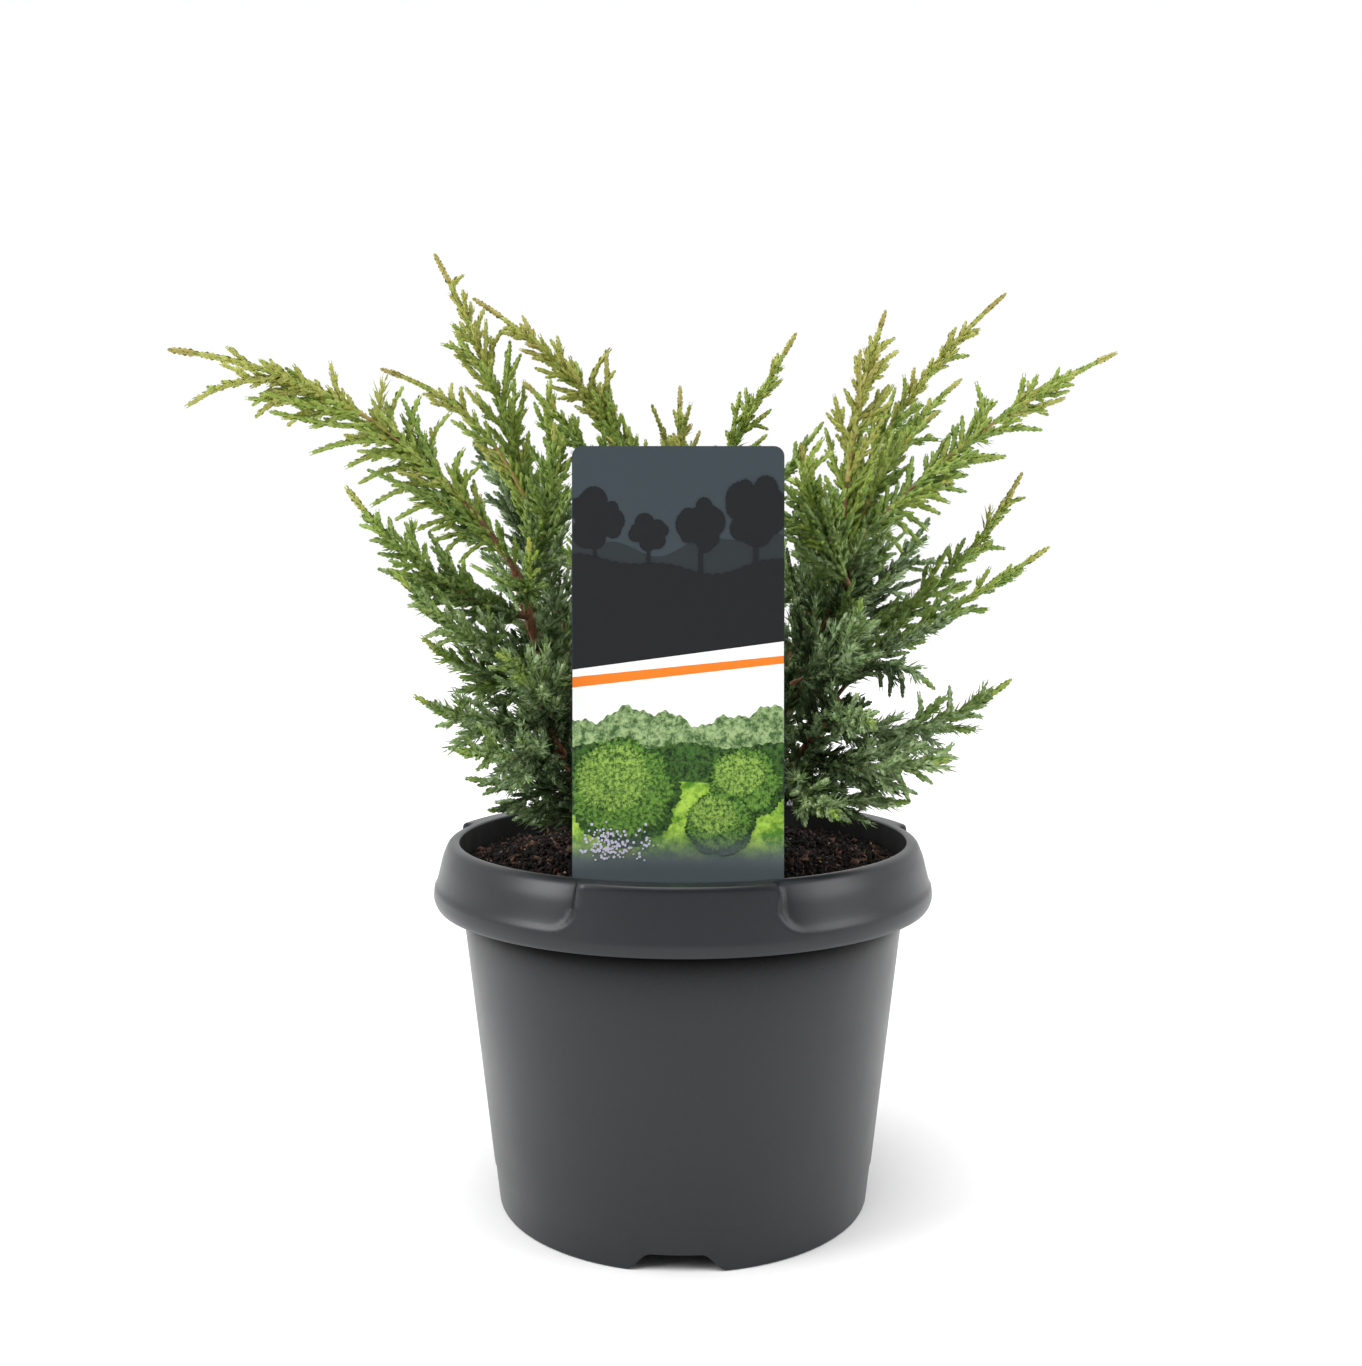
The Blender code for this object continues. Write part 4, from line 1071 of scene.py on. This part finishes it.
def grow_side_leader(room, fresh, needles, share, across, height):
    """A long side shoot from a share of the twig to a place across and a height, bent upwards as it goes."""
    start = room.at(share)[0]
    end = np.array((across, start[1] + growth.normal(0.0, 3.0), height))
    reach = float(np.linalg.norm(end - start))
    bend = start + room.direction(share) * 0.55 * reach
    along = np.linspace(0.0, 1.0, max(4, int(reach / SCALE_PITCH)))[:, None]
    points = (1 - along) ** 2 * start + 2 * along * (1 - along) * bend + along ** 2 * end
    points = points + growth.normal(0.0, 0.012 * reach, 3) * np.sin(along * math.pi * 2.0)
    tone = fresh + 0.14 * share + growth.normal(0.0, 0.03)
    points = points[:room_for(points)]
    if len(points) > 3:
        shoots.append((points, tone, kind_of_leaf(needles * 0.4), 1.15))
        grow_knobs(points, tone, needles * 0.6, min(5.2, reach * 0.22 + 1.5), reach > 14.0)


def grow_spray(node):
    """One spray: its twig and leader, the side shoots that stand out, then side shoots all round it."""
    room = SprayRoom(node)
    slot = slot_of[node]
    needles = NEEDLE_SHARE[slot]
    lift, loose, spread = HABITS.get(room.name, AS_ITS_NEIGHBOURS)
    _, above, below = LOPSIDED.get(room.name, EVEN)
    shown = SHOWN_TWIGS.get(room.name, 0.0)
    fresh = FRESHNESS[slot] + lift + 0.10 * (room.tip[2] - 250.0) / 100.0 + growth.normal(0.0, 0.02)
    line = room.at(np.linspace(0.0, 1.0, TWIG_STEPS + 1))
    line[0] -= 1.2 * room.direction(0.0)
    twigs.append((line, TWIG_RADIUS + TWIG_RADIUS_MORE * min(1.0, room.length / FULL_TWIG_LENGTH)))
    grow_leader(room, fresh, shown)
    for share, across, height in SIDE_LEADERS.get(room.name, ()):
        grow_side_leader(room, fresh, needles, share, across, height)
    turn = growth.uniform(0.0, math.tau)
    travelled = growth.uniform(1.0, 3.0)
    index = 0
    while travelled < room.length * (1.0 - BARE_TIP[slot]) - 4.0:
        share = travelled / room.length
        turn += GOLDEN_TURN + growth.normal(0.0, 0.3)
        ahead = room.direction(share)
        heading, outward, slant = slanted(ahead, turn, SIDE_SLANT, crossed(ahead))
        width = room.width(share)
        step = (LEADER_STEP + STEP_FOR_WIDTH * width) * loose * (0.72 + 0.78 * share)
        if 0.06 < share < shown and outward[1] < -0.45:
            travelled += step * growth.uniform(0.75, 1.25)
            continue
        if index % 2 == 0 or share < 0.35:
            reach = spread * width * growth.uniform(0.8, 1.3) / math.sin(slant) / loose ** 0.4
            reach *= above if outward[2] > 0.0 else below
            shy = 0.55 if share > 0.62 and room.name in SIDE_LEADERS else 1.0
            left = room.length - travelled
            reach = min(reach, shy * left * growth.uniform(0.48, 0.74), LONGEST_SIDE_SHOOT)
        else:
            reach = growth.uniform(4.0, 7.5) * (1.15 - 0.5 * share)
        reach = max(reach, SHORTEST_SIDE_SHOOT)
        # Side shoots are darker towards the spray's foot, partly as older leaves and partly as painted shade
        # of the spray's inside, and paler towards its tip.
        tone = fresh - 0.12 * (1.0 - share) ** 1.5 + 0.22 * share ** 1.3 + growth.normal(0.0, 0.05)
        some_needles = needles * 1.2 * (1.0 - share)
        points = add_shoot(room.at(share)[0], heading, reach, ahead * 0.30 + UPSWEEP, tone,
                           kind_of_leaf(some_needles), growth.uniform(0.92, 1.06))
        if points is not None and reach > 8.0:
            grow_knobs(points, tone, some_needles, min(6.0, reach * 0.24 + 1.8), share < 0.6, loose ** 0.5)
        travelled += step * growth.uniform(0.75, 1.25)
        index += 1


def grow_inner_shoots(name):
    """Leafy shoots straight from a bough, which fill the middle of the shrub."""
    centres, run = boughs[name]
    low, high = BARE_FRONTS.get(name, (0.0, 0.0))
    turn = growth.uniform(0.0, math.tau)
    travelled = run[-1] * 0.14
    while travelled < run[-1] * 0.97:
        place = np.array([np.interp(travelled, run, centres[:, axis]) for axis in range(3)])
        beyond = np.array([np.interp(travelled + 3.0, run, centres[:, axis]) for axis in range(3)])
        ahead = unit(beyond - place)
        turn += GOLDEN_TURN + growth.normal(0.0, 0.4)
        side_a, side_b = crossed(ahead)
        outward = side_a * math.cos(turn) + side_b * math.sin(turn)
        if outward[1] > 0.0 and growth.uniform() < FRONT_SHARE.get(name, 0.0):
            outward = -outward
        heading = unit(ahead * 0.8 + outward)
        if low < place[2] < high and heading[1] < 0.1:
            travelled += growth.uniform(1.1, 2.2)
            continue
        reach = growth.uniform(14.0, 32.0) * (1.0 - SHRINKS.get(name, 0.1) * travelled / run[-1])
        # Inner shoots take the darkest greens, partly as older leaves and partly as painted shade inside the
        # shrub, with lighter greens higher up.
        tone = growth.uniform(0.0, 0.28) + 0.16 * smooth_step((place[2] - 180.0) / 80.0)
        points = add_shoot(place, heading, reach, ahead * 0.5, tone, kind_of_leaf(INNER_NEEDLES), 0.95)
        if points is not None:
            grow_knobs(points, tone, INNER_NEEDLES, 8.0, True)
        travelled += growth.uniform(0.9, 1.9)


spray_names = sorted(name for name in frame["nodes"] if name.startswith("foliage_"))
for spray_name in spray_names:
    grow_spray(spray_name)
for bough_name in bough_names:
    grow_inner_shoots(bough_name)

# A leaf is a small kite with a raised midrib: foot, left, right, rib and tip, and four faces. Each row is
# (across, along, outward) in millimetres for a leaf on a shoot of full thickness, and scale leaves stand
# in twos round the shoot, needles in threes. They are larger than life, so that each one shows.
LEAVES = {
    "scale": (2, np.array((
        (0.0, -0.6, 0.55), (-0.95, 0.90, 0.74), (0.95, 0.90, 0.74), (0.0, 0.95, 1.08), (0.0, 2.10, 0.95)))),
    "needle": (3, np.array((
        (0.0, -0.1, 0.25), (-0.40, 1.7, 1.3), (0.40, 1.7, 1.3), (0.0, 1.5, 1.62), (0.0, 4.6, 3.1)))),
}
LEAF_FACES = np.array(((0, 2, 3), (0, 3, 1), (1, 3, 4), (3, 2, 4)))
LEAF_CORNERS = 5
# The last two leaves of a shoot are smaller, and their tips lean in, so it ends in a blunt bud.
BUD_SIZES = (0.94, 0.66)
BUD_TIP_LEANS_IN = np.array((1.0, 1.0, 1.0, 1.0, 3.0))


def shoot_leaves(points, kind, thickness, rng):
    """All the leaves of one shoot, as (leaves, 5, 3) places."""
    around, pattern = LEAVES[kind]
    count = len(points)
    ahead = np.gradient(points, axis=0)
    ahead /= np.linalg.norm(ahead, axis=1)[:, None] + 1e-9
    first, _ = crossed(unit(points[-1] - points[0]))
    first = first - ahead * (ahead @ first)[:, None]
    first /= np.linalg.norm(first, axis=1)[:, None]
    second = np.cross(ahead, first)
    turn = rng.uniform(0.0, math.pi) + np.arange(count) * (math.pi / around) + rng.normal(0.0, 0.2, count)
    size = thickness * rng.uniform(0.9, 1.1, count) * np.linspace(1.05, 0.88, count)
    closing = np.ones(count)
    closing[-2:] = BUD_SIZES
    inward = closing[:, None] ** BUD_TIP_LEANS_IN[None]
    leaves = []
    for index in range(around):
        angle = turn + index * math.tau / around
        outward = first * np.cos(angle)[:, None] + second * np.sin(angle)[:, None]
        across = np.cross(ahead, outward)
        leaves.append(points[:, None, :] + size[:, None, None] * (
            across[:, None, :] * pattern[None, :, 0, None] * closing[:, None, None]
            + ahead[:, None, :] * pattern[None, :, 1, None] * closing[:, None, None] ** 0.5
            + outward[:, None, :] * (pattern[None, :, 2] * inward)[..., None]))
    return np.concatenate(leaves)


def tapered_stems(lines, thick, thin, sides):
    """Closed tapering stems along lines of equal point counts, as joined places and faces."""
    lines = np.array(lines)
    levels = lines.shape[1]
    ahead = np.gradient(lines, axis=1)
    ahead /= np.linalg.norm(ahead, axis=2)[..., None] + 1e-9
    first = np.cross(ahead, np.array((0.31, 0.95, 0.05)))
    first /= np.linalg.norm(first, axis=2)[..., None] + 1e-9
    second = np.cross(ahead, first)
    fall = np.linspace(0.0, 1.0, levels)
    radii = thick[:, None] * (1.0 - fall) + thin * fall
    angles = np.arange(sides) * math.tau / sides
    ring = (first[:, :, None] * np.cos(angles)[None, None, :, None]
            + second[:, :, None] * np.sin(angles)[None, None, :, None])
    points = lines[:, :, None] + ring * radii[:, :, None, None]
    faces = []
    for level in range(levels - 1):
        for side in range(sides):
            here = level * sides + side
            beside = level * sides + (side + 1) % sides
            faces += [(here, beside, beside + sides), (here, beside + sides, here + sides)]
    last = (levels - 1) * sides
    for side in range(1, sides - 1):
        faces += [(0, side + 1, side), (last, last + side, last + side + 1)]
    faces = np.array(faces)[None] + (np.arange(len(lines)) * levels * sides)[:, None, None]
    return points.reshape(-1, 3), faces.reshape(-1, 3)


# Live juniper leaves: waxy and faintly glossy, with a pale bloom in patches. The greens run from the shaded
# inside of the shrub to the fresh tips, and each shoot takes the one that its tone points to.
LEAF_GREENS = (
    # name, colour, bloom colour, slot
    ("leaves_deep_shade", "344426", "4b5f36", "foliage_blue"),
    ("leaves_grey_green", "5e7546", "98ad82", "foliage_blue"),
    ("leaves_blue_green", "728c51", "a8ba90", "foliage_blue"),
    ("leaves_dark_green", "647d3a", "8da265", "foliage_green"),
    ("leaves_mid_green", "728c3b", "8fa557", "foliage_green"),
    ("leaves_grass_green", "85993f", "9dae59", "foliage_green"),
    ("leaves_light_green", "9a9f46", "acb062", "foliage_fresh"),
    ("leaves_yellow_green", "9f9c4c", "b1ad66", "foliage_fresh"),
    ("leaves_bronze_tips", "968e48", "a89e5c", "foliage_fresh"),
)
# Leaves are split over meshes of at most so many triangles. A shoot with more points than LONG_SHOOT gets
# the finer of the two stems.
MOST_TRIANGLES = 180000
LONG_SHOOT = 5
STEM_LEVELS = (3, 6)
STEM_RADIUS = 0.88
NEEDLE_STEM_RADIUS = 0.5
STEM_TIP_SHARE = 0.8
STEM_SIDES = 4
leaf_rng = np.random.default_rng(77)
by_green = [[] for _ in LEAF_GREENS]
stems_by_green = [{} for _ in LEAF_GREENS]
for points, tone, kind, thickness in shoots:
    index = int(np.clip(tone, 0.0, 0.999) * len(LEAF_GREENS))
    by_green[index].append(shoot_leaves(points, kind, thickness, leaf_rng))
    levels = STEM_LEVELS[len(points) > LONG_SHOOT]
    along = np.linspace(0.0, len(points) - 1.0, levels)
    line = np.stack([np.interp(along, np.arange(len(points)), points[:, axis]) for axis in range(3)], axis=1)
    stem_radius = (STEM_RADIUS if kind == "scale" else NEEDLE_STEM_RADIUS) * thickness
    stems_by_green[index].setdefault(levels, []).append((line, stem_radius))


def patchy_skin(name, colour, patch_colour):
    """A dull, faintly glossy skin with small patches: pale bloom on leaves, dry streaks on young bark."""
    material, shader = new_material(name, colour, 0.55, 0.28)
    place = add_node(shader, "ShaderNodeTexCoord")
    patches = add_node(shader, "ShaderNodeTexNoise", {
        "Vector": place.outputs["Object"], "Scale": 1 / (2.5 * MM), "Detail": 2.0})
    add_node(shader, "ShaderNodeValToRGB", {"Fac": patches.outputs["Fac"]}, shader.inputs["Base Color"],
             ((0.42, colour), (0.66, patch_colour)))
    return material


for (name, colour, bloom, slot), leaves, stems in zip(LEAF_GREENS, by_green, stems_by_green):
    material = patchy_skin(name, colour, bloom)
    nodes = [node for node in spray_names if slot_of[node] == slot]
    leaves = np.concatenate(leaves)
    parts = math.ceil(len(leaves) * len(LEAF_FACES) / MOST_TRIANGLES)
    for part, some in enumerate(np.array_split(leaves, parts), start=1):
        faces = LEAF_FACES[None] + (np.arange(len(some)) * LEAF_CORNERS)[:, None, None]
        mesh = joined_mesh(f"{name}_{part}", some.reshape(-1, 3), faces.reshape(-1, 3))
        place_mesh(f"{name}_{part}", mesh, material, nodes)
    for levels, group in stems.items():
        thick = np.array([radius for _, radius in group])
        lines = [line for line, _ in group]
        points, faces = tapered_stems(lines, thick, STEM_RADIUS * STEM_TIP_SHARE, STEM_SIDES)
        stem_name = f"stems_{levels}_of_{name}"
        place_mesh(stem_name, joined_mesh(stem_name, points, faces), material, nodes)

# The twigs of the sprays: stringy red-brown bark near the bough, orange-tan further out, green at the tip.
# Each colour is a length of every twig, and the lengths meet end to end.
TWIG_COLOURS = (
    # name, colour, streak colour, from share, to share
    ("twigs_brown", "6a4a36", "87664a", 0.0, 0.34),
    ("twigs_tan", "8f7a42", "aa9558", 0.34, 0.67),
    ("twigs_green", "7f8a42", "9a9d58", 0.67, 1.0),
)
TWIG_SIDES = 7
TWIG_TIP = 0.4
TWIG_TAPER = 0.25
for name, colour, streak, from_share, to_share in TWIG_COLOURS:
    material = patchy_skin(name, colour, streak)
    lines = [line[round(from_share * TWIG_STEPS):round(to_share * TWIG_STEPS) + 1] for line, _ in twigs]
    thick = np.array([radius for _, radius in twigs])
    starts = thick + (TWIG_TIP - thick) * from_share
    points, faces = tapered_stems(lines, starts, TWIG_TIP + TWIG_TAPER * (1.0 - to_share), TWIG_SIDES)
    place_mesh(name, joined_mesh(name, points, faces), material, spray_names, 60.0)
